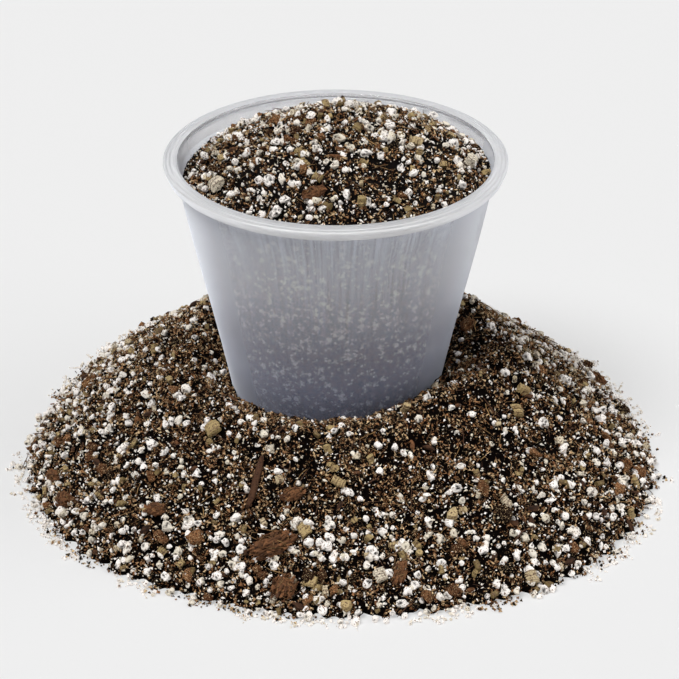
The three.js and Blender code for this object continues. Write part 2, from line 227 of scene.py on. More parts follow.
class PotWall:
    """Radius of the pot's wall by height, read from its solid."""

    def __init__(self, wall):
        tree = tree_of("pot")
        margin = 0.2 * MM
        aside = 0.01 * MM
        above_floor = POT_LOW.z + 4 * MM
        samples = 90
        self.heights = np.linspace(POT_LOW.z + margin, POT_HIGH.z - margin, samples)
        starts = [Vector((0, aside, max(z, above_floor))) for z in self.heights]
        self.inner = np.array([tree.ray_cast(start, Vector((1, 0, 0)))[0].x for start in starts])
        self.wall = wall

    def outside(self, height):
        """Outer radius of the bare wall, without the lip."""
        return np.interp(height, self.heights, self.inner) + self.wall

    def inside(self, height):
        return np.interp(height, self.heights, self.inner)


def smooth_noise(rng, x, y, size):
    """Smooth noise from -1 to 1 over a plane, one swing for each size."""
    across, along = np.asarray(x) / size, np.asarray(y) / size
    low = np.array([np.floor(across).min(), np.floor(along).min()])
    span = np.array([np.floor(across).max(), np.floor(along).max()]) - low + 2
    lattice = rng.uniform(-1, 1, (int(span[1]), int(span[0])))
    column, row = across - low[0], along - low[1]
    i, j = np.floor(column).astype(int), np.floor(row).astype(int)
    s, t = column - i, row - j
    return between(lattice, i, j, s * s * (3 - 2 * s), t * t * (3 - 2 * t))


class MixSurface:
    """Height of a surface of mix over the plane: its CAD solid with the edges of its facets smoothed."""

    spacing = 1.5 * MM
    margin = 12 * MM
    past_last = 1.001  # keeps a reading inside the last cell of the grid
    smoothings = 3
    foot_round = 7 * MM  # the surface bends down to the floor over this stretch
    thick_enough = 6 * MM  # lumps and pores fade out where the mix is thinner
    lump_height = 0.5 * MM
    lump_size = 5 * MM
    pore_size = 3.6 * MM
    pore_start = 0.05  # level of the noise where a pore starts
    pore_side = 0.35  # how far above that level it is deepest

    def __init__(self, node, rng, keep_inside, keep_outside, sunk, foot=None):
        """Past the two radii to keep to, the surface carries on as it is there."""
        low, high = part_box(node)
        self.low = np.array([low.x, low.y]) - self.margin
        span = np.array([high.x, high.y]) + self.margin - self.low
        counts = np.ceil(span / self.spacing).astype(int) + 1
        x = self.low[0] + self.spacing * np.arange(counts[0])
        y = self.low[1] + self.spacing * np.arange(counts[1])
        x, y = np.meshgrid(x, y)
        distance = np.maximum(np.hypot(x, y), 1e-9)
        pushed = np.clip(distance, keep_outside, keep_inside) / distance
        tree = tree_of(node)
        down = Vector((0, 0, -1))
        top = high.z + self.margin
        hits = [
            tree.ray_cast(Vector((a, b, top)), down)[0]
            for a, b in zip((x * pushed).ravel(), (y * pushed).ravel())
        ]
        height = np.array([hit.z if hit else 0.0 for hit in hits]).reshape(x.shape)
        for _ in range(self.smoothings):
            height = (height + sum(np.roll(height, s, a) for a in (0, 1) for s in (1, -1))) / 5
        if foot:
            left = np.clip((foot.at(np.arctan2(y, x)) - distance) / self.foot_round, 0, 1)
            height *= left * (2 - left)
        solid = np.clip(height / self.thick_enough, 0, 1)
        lumps = self.lump_height * smooth_noise(rng, x, y, self.lump_size)
        pits = smooth_noise(rng, x, y, self.pore_size)
        self.pores = np.clip((pits - self.pore_start) / self.pore_side, 0, 1) * solid
        self.height = height + (lumps - sunk) * solid

    def slump(self, start, reach, depth):
        """Lowers the surface to the left of a start, down to a depth at its reach."""
        x = self.low[0] + self.spacing * np.arange(self.height.shape[1])
        self.height -= depth * np.clip((start - x) / reach, 0, 1)

    def read(self, values, x, y):
        column = np.clip((x - self.low[0]) / self.spacing, 0, values.shape[1] - self.past_last)
        row = np.clip((y - self.low[1]) / self.spacing, 0, values.shape[0] - self.past_last)
        i, j = column.astype(int), row.astype(int)
        return between(values, i, j, column - i, row - j)

    def at(self, x, y):
        return self.read(self.height, x, y)

    def pore(self, x, y):
        """How deep a place lies in a pore between the crumbs, from 0 to 1."""
        return self.read(self.pores, x, y)

    def normal(self, x, y):
        step = self.spacing
        slope_x = (self.at(x + step, y) - self.at(x - step, y)) / (2 * step)
        slope_y = (self.at(x, y + step) - self.at(x, y - step)) / (2 * step)
        return unit(np.stack([-slope_x, -slope_y, np.ones_like(slope_x)], 1))


class FootOutline:
    """Distance from the axis to the mound's foot by angle, read from its underside."""

    on_floor = 0.05 * MM
    drawn_in = 0.985  # share of the solid's foot that the grains keep to
    bay_depth = 0.009  # of each wave, as a share of the reach
    waves = ((40, 0.4), (75, 1.9), (131, 4.1))  # count round the foot, and start

    def __init__(self):
        points = points_of("mound")
        foot = points[points[:, 2] < self.on_floor]
        reach = np.hypot(foot[:, 0], foot[:, 1])
        outer = reach > reach.max() / 2
        foot, reach = foot[outer], reach[outer]
        turn = np.arctan2(foot[:, 1], foot[:, 0])
        order = np.argsort(turn)
        self.turn, self.reach = turn[order], reach[order]

    def at(self, turn):
        return np.interp(turn, self.turn, self.reach, period=2 * math.pi)

    def ragged(self, turn):
        """The foot as its grains show it, with small bays."""
        bays = sum(np.sin(count * turn + start) for count, start in self.waves)
        return self.at(turn) * (self.drawn_in + self.bay_depth * bays)


# Meshes

def add_object(name, data):
    made = bpy.data.objects.new(name, data)
    bpy.context.scene.collection.objects.link(made)
    return made


def add_piece(name, mesh, material, replaced=()):
    """Puts a mesh in the scene as a piece of the object, in place of the solids that it replaces."""
    piece = add_object(name, mesh)
    mesh.materials.append(material)
    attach(piece, BODY)
    if replaced:
        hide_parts(*replaced)


def turned_mesh(name, radius, height, sharp_angle=None):
    """Closed mesh of rings round the Z axis. Rows are rings, and the first and last close on the axis."""
    rings, segments = radius.shape
    x, y = polar(radius, full_turn(segments))
    ring_points = np.stack([x, y, height], 2)[1:-1].reshape(-1, 3)
    first, last = (0, 0, height[0, 0]), (0, 0, height[-1, 0])
    places = np.vstack([[first], ring_points, [last]])

    def corner(ring, segment):
        if ring == 0:
            return 0
        if ring == rings - 1:
            return len(places) - 1
        return 1 + (ring - 1) * segments + segment % segments

    faces, maps = [], []
    for ring in range(rings - 1):
        low, high = ring / (rings - 1), (ring + 1) / (rings - 1)
        for segment in range(segments):
            left, right = segment / segments, (segment + 1) / segments
            middle = (left + right) / 2
            if ring == 0:
                faces.append((0, corner(1, segment + 1), corner(1, segment)))
                maps.append(((middle, low), (right, high), (left, high)))
            elif ring == rings - 2:
                faces.append((corner(ring, segment), corner(ring, segment + 1), len(places) - 1))
                maps.append(((left, low), (right, low), (middle, high)))
            else:
                faces.append((
                    corner(ring, segment),
                    corner(ring, segment + 1),
                    corner(ring + 1, segment + 1),
                    corner(ring + 1, segment),
                ))
                maps.append(((left, low), (right, low), (right, high), (left, high)))
    mesh = bpy.data.meshes.new(name)
    mesh.from_pydata(places.tolist(), [], faces)
    layer = mesh.uv_layers.new(name=BAKE_MAP)
    layer.data.foreach_set("uv", np.array([p for face in maps for p in face]).ravel())
    outward = bmesh.new()
    outward.from_mesh(mesh)
    bmesh.ops.recalc_face_normals(outward, faces=outward.faces)
    outward.to_mesh(mesh)
    outward.free()
    mesh.shade_smooth()
    if sharp_angle:
        mesh.set_sharp_from_angle(angle=sharp_angle)
    return mesh


def ball(subdivisions):
    """Corners and triangles of a round grain of radius 1."""
    made = bmesh.new()
    bmesh.ops.create_icosphere(made, subdivisions=subdivisions, radius=1)
    made.verts.ensure_lookup_table()
    places = np.array([v.co[:] for v in made.verts])
    faces = np.array([[v.index for v in f.verts] for f in made.faces])
    made.free()
    return places, faces


def directions(rng, count):
    """Random directions, each of length 1."""
    return unit(rng.normal(size=(count, 3)))


def lumpy(rng, places, lumps, height, sharpness):
    """A round grain with lumps, or with pits where the height is negative."""
    outward = unit(places)
    reach = np.ones(len(places))
    lowest, least_reach = 0.4, 0.5
    for centre in directions(rng, lumps):
        reach += height * rng.uniform(lowest, 1) * np.exp(sharpness * (outward @ centre - 1))
    return places * np.maximum(reach, least_reach)[:, None]


def broken(rng, places, flats, least):
    """A grain broken off along flats, each at a distance from its middle between least and 1."""
    unbroken, almost_none = 1.15, 1e-3
    reach = np.full(len(places), unbroken)
    for towards in directions(rng, flats):
        reach = np.minimum(reach, rng.uniform(least, 1) / np.maximum(places @ towards, almost_none))
    return places * reach[:, None]


def jittered(rng, places, least, most):
    """A grain with each corner moved in or out by chance."""
    return places * rng.uniform(least, most, (len(places), 1))


def splinter():
    """Corners and triangles of the simplest splinter, with four corners."""
    places = np.array([(1, 1, 1), (1, -1, -1), (-1, 1, -1), (-1, -1, 1)]) / math.sqrt(3)
    return places, np.array([(0, 1, 2), (0, 3, 1), (0, 2, 3), (1, 3, 2)])


def crumb():
    """Corners and triangles of a crumb with six corners."""
    places = np.array([(1, 0, 0), (-1, 0, 0), (0, 1, 0), (0, -1, 0), (0, 0, 1), (0, 0, -1)], float)
    upper = [(0, 2, 4), (2, 1, 4), (1, 3, 4), (3, 0, 4)]
    lower = [(2, 0, 5), (1, 2, 5), (3, 1, 5), (0, 3, 5)]
    return places, np.array(upper + lower)


class Shapes:
    """Variants of one grain with the same triangles, and at each corner a share of painted shade that
    darkens the grain's hollows in its material.
    """

    def __init__(self, faces, variants, hollow_shades=None):
        self.faces = faces
        self.places = np.array(variants)
        self.hollow_shades = np.zeros(self.places.shape[:2]) if hollow_shades is None else np.array(hollow_shades)


def facing(rng, normals):
    """Rotations that set Z along each normal, with a random spin about it."""
    side = unit(np.cross(normals, directions(rng, len(normals))))
    return np.stack([side, np.cross(normals, side), normals], 2)


class Grains:
    """A batch of grains that become one mesh, each with a tone and a tile of the bake map of its own."""

    map_shear = (0.35, 0.2)  # sets a grain's top and bottom apart on its tile
    map_span = 3.2  # room for a grain of radius 1 on its tile
    map_border = 0.02

    def __init__(self, rng):
        self.rng = rng
        self.places, self.faces, self.tones, self.hollow_shades, self.maps = [], [], [], [], []
        self.corners = 0
        self.count = 0

    def add(self, shapes, centres, frames, sizes, tones=None):
        """Adds one grain for each centre. Sizes are half lengths along each grain's own axes."""
        count = len(centres)
        kind = self.rng.integers(len(shapes.places), size=count)
        picked = shapes.places[kind]
        corners = picked.shape[1]
        placed = np.einsum("nij,nkj->nki", frames, picked * sizes[:, None, :]) + centres[:, None, :]
        start = self.corners + corners * np.arange(count)
        tones = self.rng.uniform(size=count) if tones is None else tones
        sheared = picked[:, :, :2] + np.array(self.map_shear) * picked[:, :, 2:]
        flat = np.clip(sheared / self.map_span + 0.5, self.map_border, 1 - self.map_border)
        self.places.append(placed.reshape(-1, 3))
        self.faces.append((shapes.faces[None] + start[:, None, None]).reshape(-1, 3))
        self.tones.append(np.repeat(tones, corners))
        self.hollow_shades.append(shapes.hollow_shades[kind].ravel())
        self.maps.append((flat, self.count + np.arange(count)))
        self.corners += corners * count
        self.count += count

    def mesh(self, name, smooth):
        faces = np.vstack(self.faces)
        mesh = bpy.data.meshes.new(name)
        mesh.from_pydata(np.vstack(self.places).tolist(), [], faces.tolist())
        # Each grain's tone, and at each corner the share of painted shade for its hollows.
        for label, values in (("tone", self.tones), ("mark", self.hollow_shades)):
            mesh.attributes.new(label, "FLOAT", "POINT").data.foreach_set("value", np.concatenate(values))
        tiles = math.ceil(math.sqrt(self.count))
        spread = [
            ((np.stack([grain % tiles, grain // tiles], 1)[:, None] + flat) / tiles).reshape(-1, 2)
            for flat, grain in self.maps
        ]
        layer = mesh.uv_layers.new(name=BAKE_MAP)
        layer.data.foreach_set("uv", np.vstack(spread)[faces.ravel()].ravel())
        mesh.polygons.foreach_set("use_smooth", np.full(len(faces), smooth))
        return mesh

    def add_to_scene(self, name, material, replaced=(), smooth=False):
        add_piece(name, self.mesh(name, smooth), material, replaced)


# Materials

def socket_colour(value):
    """What a colour socket takes: a colour made opaque, a grey of a number, or a link as it is."""
    if isinstance(value, bpy.types.NodeSocket):
        return value
    return (value, value, value, 1) if isinstance(value, (int, float)) else (*value, 1)


class Recipe:
    """A node material in the making, round its one shader."""

    def __init__(self, name, roughness, specular, **inputs):
        self.material = bpy.data.materials.new(name)
        self.material.use_nodes = True
        self.tree = self.material.node_tree
        self.shader = self.tree.nodes["Principled BSDF"]
        self.set_shader(roughness=roughness, specular_ior_level=specular, **inputs)

    def set_shader(self, **inputs):
        """Sets sockets of the shader, by their names in small letters with underscores."""
        sockets = {socket.name.lower().replace(" ", "_"): socket for socket in self.shader.inputs}
        for name, value in inputs.items():
            self.give(sockets[name], value)

    def node(self, kind, settings=None, **inputs):
        made = self.tree.nodes.new(kind)
        for name, value in (settings or {}).items():
            setattr(made, name, value)
        for name, value in inputs.items():
            self.give(made.inputs[name], value)
        return made

    def give(self, socket, value):
        if isinstance(value, bpy.types.NodeSocket):
            self.tree.links.new(value, socket)
        else:
            socket.default_value = value

    def calculate(self, kind, operation, *values):
        """Node that calculates with the values, in the order of its sockets."""
        made = self.node(kind, {"operation": operation})
        for place, value in enumerate(values):
            self.give(made.inputs[place], value)
        return made

    def math(self, operation, *values):
        return self.calculate("ShaderNodeMath", operation, *values).outputs[0]

    def vector_math(self, operation, *values):
        return self.calculate("ShaderNodeVectorMath", operation, *values).outputs["Vector"]

    def attribute(self, name):
        return self.node("ShaderNodeAttribute", {"attribute_name": name}).outputs["Fac"]

    def places(self, scale=(1, 1, 1)):
        coordinates = self.node("ShaderNodeTexCoord").outputs["Object"]
        return self.node("ShaderNodeMapping", Vector=coordinates, Scale=scale).outputs["Vector"]

    def upward(self, vector):
        return self.node("ShaderNodeSeparateXYZ", Vector=vector).outputs["Z"]

    def around(self, across, along):
        """Coordinates that run round the Z axis and up it, for streaks that stand upright on a wall."""
        level = self.vector_math("NORMALIZE", self.places((1, 1, 0)))
        turned = self.vector_math("MULTIPLY", level, (across,) * 3)
        return self.vector_math("ADD", turned, self.places((0, 0, along)))

    def noise(self, scale, detail=2, roughness=0.5, vector=None):
        made = self.node("ShaderNodeTexNoise", Scale=scale, Detail=detail, Roughness=roughness)
        self.give(made.inputs["Vector"], vector or self.places())
        return made.outputs["Fac"]

    def ramp(self, factor, *stops):
        """Colours or numbers that change with a factor, from stop to stop."""
        made = self.node("ShaderNodeValToRGB", Fac=factor)
        elements = made.color_ramp.elements
        while len(elements) < len(stops):
            elements.new(0.5)
        for element, (place, value) in zip(elements, stops):
            element.position = place
            element.color = socket_colour(value)
        return made.outputs["Color"]

    def tones(self, *stops):
        """Colours that change with the tone of each grain."""
        return self.ramp(self.attribute("tone"), *stops)

    def levels(self, factor, low, high):
        """Stretches a factor so that low becomes 0 and high becomes 1."""
        made = self.node("ShaderNodeMapRange")
        for place, value in enumerate((factor, low, high)):
            self.give(made.inputs[place], value)
        return made.outputs["Result"]

    def mix(self, factor, first, second, blend="MIX"):
        made = self.node("ShaderNodeMix", {"data_type": "RGBA", "blend_type": blend})
        for place, value in ((0, factor), (6, socket_colour(first)), (7, socket_colour(second))):
            self.give(made.inputs[place], value)
        return made.outputs[2]

    def base(self, value):
        self.set_shader(base_color=value)

    def bump(self, height, strength, distance):
        made = self.node("ShaderNodeBump", Height=height, Strength=strength, Distance=distance)
        self.set_shader(normal=made.outputs["Normal"])


def peat_material(mix):
    recipe = Recipe("peat crumbs", roughness=0.95, specular=0.05)
    tone = recipe.tones(
        (0.44, mix.peat_dark),
        (0.53, mix.peat),
        (0.67, mix.peat_brown),
        (0.84, mix.peat_light),
    )
    clumps = recipe.levels(recipe.noise(scale=150), low=0.52, high=0.7)
    redness = 0.75
    reddish = recipe.mix(clumps, tone, recipe.mix(redness, tone, mix.bark_orange, "MULTIPLY"))
    mottle = recipe.levels(recipe.noise(scale=1900), low=0.34, high=0.56)
    flecks = recipe.levels(recipe.noise(scale=2400), low=0.62, high=0.68)
    recipe.base(recipe.mix(flecks, recipe.mix(mottle, mix.peat_dark, reddish), mix.peat_light))
    return recipe.material


def packed_grain(recipe):
    """Noise as fine as the crumbs that the ground is packed from."""
    return recipe.noise(scale=1300, detail=3, roughness=0.7)


def ground_material(mix):
    recipe = Recipe("packed peat", roughness=0.97, specular=0.03)
    grain = packed_grain(recipe)
    # Mostly the darkest peat, so that the ground between the grains reads as deep shade: painted shade.
    recipe.base(recipe.ramp(grain, (0.66, mix.peat_dark), (0.85, mix.peat), (0.97, mix.peat_brown)))
    recipe.bump(grain, strength=0.8, distance=0.8 * MM)
    return recipe.material


def ragged_spots(recipe, scale, least):
    """Mask of ragged spots, one in each cell of a random pattern whose own number is over the least."""
    raggedness = 1.9 / scale
    ragged = recipe.node("ShaderNodeTexNoise", Scale=2.5 * scale, Vector=recipe.places()).outputs["Color"]
    warped = recipe.vector_math("MULTIPLY_ADD", ragged, (raggedness,) * 3, recipe.places())
    cells = recipe.node("ShaderNodeTexVoronoi", Scale=scale, Vector=warped)
    own_number = recipe.node("ShaderNodeSeparateColor", Color=cells.outputs["Color"]).outputs["Red"]
    chosen = recipe.levels(own_number, low=least, high=least + 0.02)
    near_middle = recipe.levels(cells.outputs["Distance"], low=0.56, high=0.34)
    return recipe.math("MULTIPLY", chosen, near_middle)


def fill_material(mix):
    """Packed peat, and on its side the pale grains that show through the pot's wall, under a painted glow
    that stands in for the milky light of the frosted wall.
    """
    recipe = Recipe("pressed mix", roughness=0.97, specular=0.1)
    rise = recipe.levels(recipe.upward(recipe.places()), low=POT_LOW.z, high=POT_HIGH.z)
    peat = recipe.ramp(recipe.noise(scale=700, detail=3), (0.35, mix.peat_dark), (0.65, mix.peat))
    large = ragged_spots(recipe, scale=380, least=0.78)
    small = ragged_spots(recipe, scale=760, least=0.8)
    grains = recipe.mix(small, recipe.mix(large, peat, mix.pressed), mix.pressed)
    # Painted glow: the side grows paler towards the top, in place of the milky light of the frosted wall.
    glow_share = recipe.ramp(rise, (0.4, 0.12), (0.8, 0.62), (0.95, 1.0))
    upright = recipe.around(across=64, along=26)
    streaks = recipe.levels(recipe.noise(scale=1, detail=3, vector=upright), low=0.28, high=0.66)
    faintness = 0.45
    faint = recipe.mix(faintness, 0.0, glow_share)
    # The pale glow colour is laid over the grains as far as the glow share says, in faint upright streaks:
    # painted light.
    side = recipe.mix(recipe.mix(streaks, faint, glow_share), grains, mix.painted_glow)
    # The top is mostly the darkest peat, so that the ground between the grains reads as deep shade: painted
    # shade.
    top = recipe.ramp(packed_grain(recipe), (0.66, mix.peat_dark), (0.85, mix.peat))
    facing_up = recipe.upward(recipe.node("ShaderNodeNewGeometry").outputs["Normal"])
    recipe.base(recipe.mix(recipe.levels(facing_up, low=0.2, high=0.4), side, top))
    return recipe.material


def perlite_material(mix):
    recipe = Recipe("perlite", roughness=0.9, specular=0.1)
    tone = recipe.tones((0, mix.perlite), (0.55, mix.perlite), (1, mix.perlite_cream))
    stain = recipe.levels(recipe.noise(scale=1250, detail=3, roughness=0.65), low=0.575, high=0.625)
    dirty = recipe.mix(stain, tone, mix.peat)
    # Pits darken as they deepen: painted shade.
    recipe.base(recipe.mix(recipe.attribute("mark"), dirty, mix.peat_dark))
    return recipe.material


def vermiculite_material(mix):
    recipe = Recipe("vermiculite", roughness=0.65, specular=0.35)
    tone = recipe.tones(
        (0, mix.vermiculite_olive),
        (0.35, mix.vermiculite),
        (0.65, mix.vermiculite_gold),
        (0.9, mix.perlite_cream),
    )
    # The grooves between the layers are darkened: painted shade.
    grooves = recipe.levels(recipe.attribute("mark"), low=0.12, high=0.8)
    mottle = recipe.levels(recipe.noise(scale=1300, detail=3, roughness=0.7), low=0.53, high=0.6)
    recipe.base(recipe.mix(mottle, recipe.mix(grooves, tone, mix.bark_dark), mix.bark_dark))
    return recipe.material


def bark_material(mix):
    recipe = Recipe("bark", roughness=0.9, specular=0.2)
    tone = recipe.tones((0, mix.bark_dark), (0.5, mix.bark_dark), (1, mix.bark_orange))
    grain = recipe.levels(recipe.noise(scale=1400, detail=4, roughness=0.7), low=0.3, high=0.5)
    # Grooves and dents are darkened: painted shade.
    split = recipe.mix(recipe.attribute("mark"), tone, mix.peat_dark)
    recipe.base(recipe.mix(grain, mix.peat_dark, split))
    return recipe.material


def fibre_material(mix):
    recipe = Recipe("fibres", roughness=0.8, specular=0.3)
    tone = recipe.tones((0, mix.bark_dark), (0.5, mix.bark_dark), (1, mix.fibre))
    darkened = recipe.levels(recipe.noise(scale=600), low=0.4, high=0.8)
    recipe.base(recipe.mix(darkened, tone, mix.bark_dark))
    return recipe.material


def inside_material(pot):
    """Smooth, clear plastic with a faint unevenness from the mould."""
    recipe = Recipe(
        "smooth inside",
        roughness=0.08,
        specular=0.5,
        ior=PLASTIC_IOR,
        transmission_weight=pot.inner_clearness,
    )
    uneven = recipe.noise(scale=60)
    recipe.base(recipe.mix(recipe.levels(uneven, low=0.4, high=0.9), 1.0, pot.plastic))
    recipe.bump(uneven, strength=0.03, distance=0.2 * MM)
    return recipe.material


def frosted_recipe(pot, name):
    """Frosted plastic with a haze along its sides, for the wall, the lip and the mouth."""
    return Recipe(
        name,
        roughness=pot.frosting,
        specular=0.5,
        ior=PLASTIC_IOR,
        sheen_weight=pot.sheen,
        sheen_roughness=0.5,
        sheen_tint=socket_colour(pot.sheen_tint),
    )


def mould_streaks(recipe):
    """Upright streaks from the mould, raised a little."""
    upright = recipe.around(across=30, along=12)
    streaks = recipe.noise(scale=1, detail=3, roughness=0.6, vector=upright)
    recipe.bump(streaks, strength=0.06, distance=0.2 * MM)
    return streaks


def wall_material(pot):
    recipe = frosted_recipe(pot, "frosted wall")
    shoulder = POT_HIGH.z - 15 * MM
    rise = recipe.levels(recipe.upward(recipe.places()), low=POT_LOW.z, high=shoulder)
    recipe.set_shader(transmission_weight=recipe.ramp(rise, (0.5, pot.clearness), (1, pot.top_clearness)))
    # Darker and bluer towards the foot: painted shade, with the plastic's blue tint.
    body = recipe.ramp(rise, (0.05, pot.shade), (0.8, pot.plastic))
    streaked = recipe.ramp(rise, (0.05, pot.shade), (0.95, pot.plastic))
    recipe.base(recipe.mix(recipe.levels(mould_streaks(recipe), low=0.55, high=1.1), body, streaked))
    return recipe.material


def mouth_material(pot):
    recipe = frosted_recipe(pot, "frosted mouth")
    recipe.set_shader(transmission_weight=pot.mouth_clearness, base_color=socket_colour(pot.lip))
    mould_streaks(recipe)
    return recipe.material


def lip_material(pot):
    """Glossy plastic with fine turned rings, in which light spreads."""
    recipe = frosted_recipe(pot, "frosted lip")
    recipe.set_shader(
        transmission_weight=pot.lip_clearness,
        base_color=socket_colour(pot.lip),
        coat_weight=pot.lip_gloss,
        coat_roughness=0.1,
        subsurface_weight=pot.lip_spread,
        subsurface_radius=(1, 1, 1),
        subsurface_scale=6 * MM,
    )
    ring_width = 1.6 * MM
    distance = recipe.calculate("ShaderNodeVectorMath", "LENGTH", recipe.places((1, 1, 0))).outputs["Value"]
    rings = recipe.math("SINE", recipe.math("MULTIPLY", distance, 2 * math.pi / ring_width))
    recipe.bump(rings, strength=0.5, distance=0.25 * MM)
    return recipe.material


# Places

class Mix:
    """The surfaces of mix and the grains that lie on them, made once for all operators."""

    bed_height = 15 * MM  # on the pot's wall, where the radius of its bed in the mound is taken
    girth = 0.9  # half the thickness of a grain, as a share of its half length
    above_floor = 0.75  # least height of a grain's middle, as a share of its half length
    slimmest = 0.72  # least share of its usual form that a grain has on any axis
    patch_size = 16 * MM
    least_room = 0.3 * MM  # between fine grains and coarse ones
    clinging = 0.15  # share of the fine grains that need no room

    def __init__(self, context):
        settings = context.scene.potting_mix
        self.settings = settings
        self.rng = np.random.default_rng(settings.seed)
        self.wall = PotWall(context.scene.potting_pot.wall)
        self.foot = FootOutline()
        low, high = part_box("pot_mix")
        self.fill_radius = high.x
        self.fill_floor = low.z
        self.bed_radius = self.wall.outside(POT_LOW.z + self.bed_height)
        self.mound = MixSurface(
            "mound",
            self.rng,
            keep_inside=1.0,
            keep_outside=self.bed_radius + 3.5 * MM,
            sunk=0.6 * MM,
            foot=self.foot,
        )
        self.fill = MixSurface(
            "pot_mix",
            self.rng,
            keep_inside=self.fill_radius - 2.5 * MM,
            keep_outside=0.0,
            sunk=1.2 * MM,
        )
        self.fill.slump(start=-40 * MM, reach=20 * MM, depth=3 * MM)
        self.coarse = []

    def room(self, centres):
        """Distance from each place to the nearest of the coarse grains, negative inside them."""
        if not self.coarse:
            return np.full(len(centres), 1.0)
        places = np.vstack([place for place, _ in self.coarse])
        sizes = np.concatenate([size for _, size in self.coarse])
        tree = KDTree(len(places))
        for index, place in enumerate(places):
            tree.insert(place, index)
        tree.balance()
        nearest = (tree.find_n(centre, 3) for centre in centres)
        return np.array([min(distance - sizes[index] for _, index, distance in found) for found in nearest])

    def scattered(self, count, coarse, even):
        """Angles and ways outwards from 0 to 1, by chance or evenly. Coarse grains gather outside."""
        if even:
            turn = GOLDEN_ANGLE * np.arange(count) + self.rng.uniform(-0.5, 0.5, count)
            way = (np.arange(count) + self.rng.uniform(0, 1, count)) / count
        else:
            turn = self.rng.uniform(0, 2 * math.pi, count)
            way = self.rng.uniform(0, 1, count) ** (1 / (1 + coarse))
        return turn, way

    def on_mound(self, count, coarse, over, even):
        """Places from the pot's wall to the foot, or a little over it."""
        turn, way = self.scattered(count, coarse, even)
        reach = self.foot.ragged(turn) * over
        distance = np.sqrt(self.bed_radius**2 + way * (reach**2 - self.bed_radius**2))
        return polar(distance, turn)

    def on_fill(self, count, even):
        turn, way = self.scattered(count, 0, even)
        distance = self.fill_radius * np.sqrt(way)
        return polar(distance, turn)

    def settle(self, surface, x, y, size, lift):
        """Centres and normals of grains on a surface, and which of them clear the pot's wall."""
        normal = surface.normal(x, y)
        centre = np.stack([x, y, surface.at(x, y)], 1) + normal * (size * lift)[:, None]
        distance = np.hypot(centre[:, 0], centre[:, 1])
        if surface is self.mound:
            clear = distance > self.wall.outside(centre[:, 2]) + self.girth * size
            centre[:, 2] = np.maximum(centre[:, 2], self.above_floor * size)
        else:
            inside = np.where(centre[:, 2] < POT_HIGH.z, self.wall.inside(centre[:, 2]), self.fill_radius)
            clear = distance < inside - self.girth * size
        return centre, normal, clear

    def strew(
        self,
        grains,
        shapes,
        surface,
        count,
        sizes,
        lift,
        tones=(0, 1),
        depth_shade=0.0,
        form=(1, 1, 1),
        tilt=3.0,
        coarse=0.0,
        over=1.0,
        even=False,
        keep_pores=0.0,
        patchy=None,
        fine=False,
    ):
        """Strews grains over a surface.

        Sizes are the least, the usual and the largest half length, in millimetres. Lift is how far the
        middle stands off the surface, as a share of the half length. The tone is by chance, and in the
        share that the depth argument gives, by how high a grain stands: lower grains get darker tones,
        a painted shade between the grains.
        Pores are kept open, and patches bare, as far as keep_pores and patchy say. Fine grains keep off the
        coarse ones that were strewn before them.
        """
        if surface is self.mound:
            x, y = self.on_mound(int(count), coarse, over, even)
        else:
            x, y = self.on_fill(int(count * self.settings.fill_share), even)
        count = len(x)
        size = self.rng.triangular(*(MM * half_length for half_length in sizes), count)
        rise = self.rng.uniform(0, 1, count)
        centre, normal, clear = self.settle(surface, x, y, size, lift[0] + (lift[1] - lift[0]) * rise)
        clear &= surface.pore(x, y) * keep_pores < self.rng.uniform(0, 1, count)
        if patchy is not None:
            clear &= smooth_noise(self.rng, x, y, self.patch_size) > patchy
        if fine:
            roomy = self.room(centre) > self.least_room
            clear &= roomy | (self.rng.uniform(0, 1, count) > 1 - self.clinging)
        leaning = unit(normal + tilt * directions(self.rng, count))
        frames = facing(self.rng, leaning)
        scale = size[:, None] * np.array(form) * self.rng.uniform(self.slimmest, 1, (count, 3))
        # Lower grains get darker tones, as far as the depth share says: painted shade between the grains.
        tone = (1 - depth_shade) * self.rng.uniform(*tones, count) + depth_shade * rise
        grains.add(shapes, centre[clear], frames[clear], scale[clear], tone[clear])
        if not fine:
            self.coarse.append((centre[clear], self.girth * scale[clear].mean(1)))

    def strew_both(self, grains, shapes, count, **how):
        """Strews grains over the mound and then over the fill."""
        for surface in (self.mound, self.fill):
            self.strew(grains, shapes, surface, count, **how)


def node_pose(node):
    """Middle, axes and half lengths of a loose piece, longest first, read from its solid."""
    points = points_of(node)
    middle = points.mean(0)
    axes = np.linalg.svd(points - middle, full_matrices=False)[2]
    axes[2] = np.cross(axes[0], axes[1])
    along = (points - middle) @ axes.T
    low, high = along.min(0), along.max(0)
    return middle + (low + high) / 2 @ axes, axes.T, (high - low) / 2


def nodes_named(kind):
    return sorted(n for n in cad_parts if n.rsplit("_", 1)[0] == kind)


def add_loose(rng, name, kind, shapes, tones, material, smooth=False):
    """Adds a piece with a grain in the place of each loose solid of a kind."""
    nodes = nodes_named(kind)
    poses = [node_pose(node) for node in nodes]
    centres, frames, sizes = (np.array([pose[i] for pose in poses]) for i in range(3))
    reach = np.abs(shapes.places).max(axis=(0, 1))
    grains = Grains(rng)
    grains.add(shapes, centres, frames, sizes / reach, rng.uniform(*tones, len(poses)))
    grains.add_to_scene(name, material, nodes, smooth)


_made = {}


def shared_mix(context):
    if "mix" not in _made:
        _made["mix"] = Mix(context)
    return _made["mix"]


# Operators

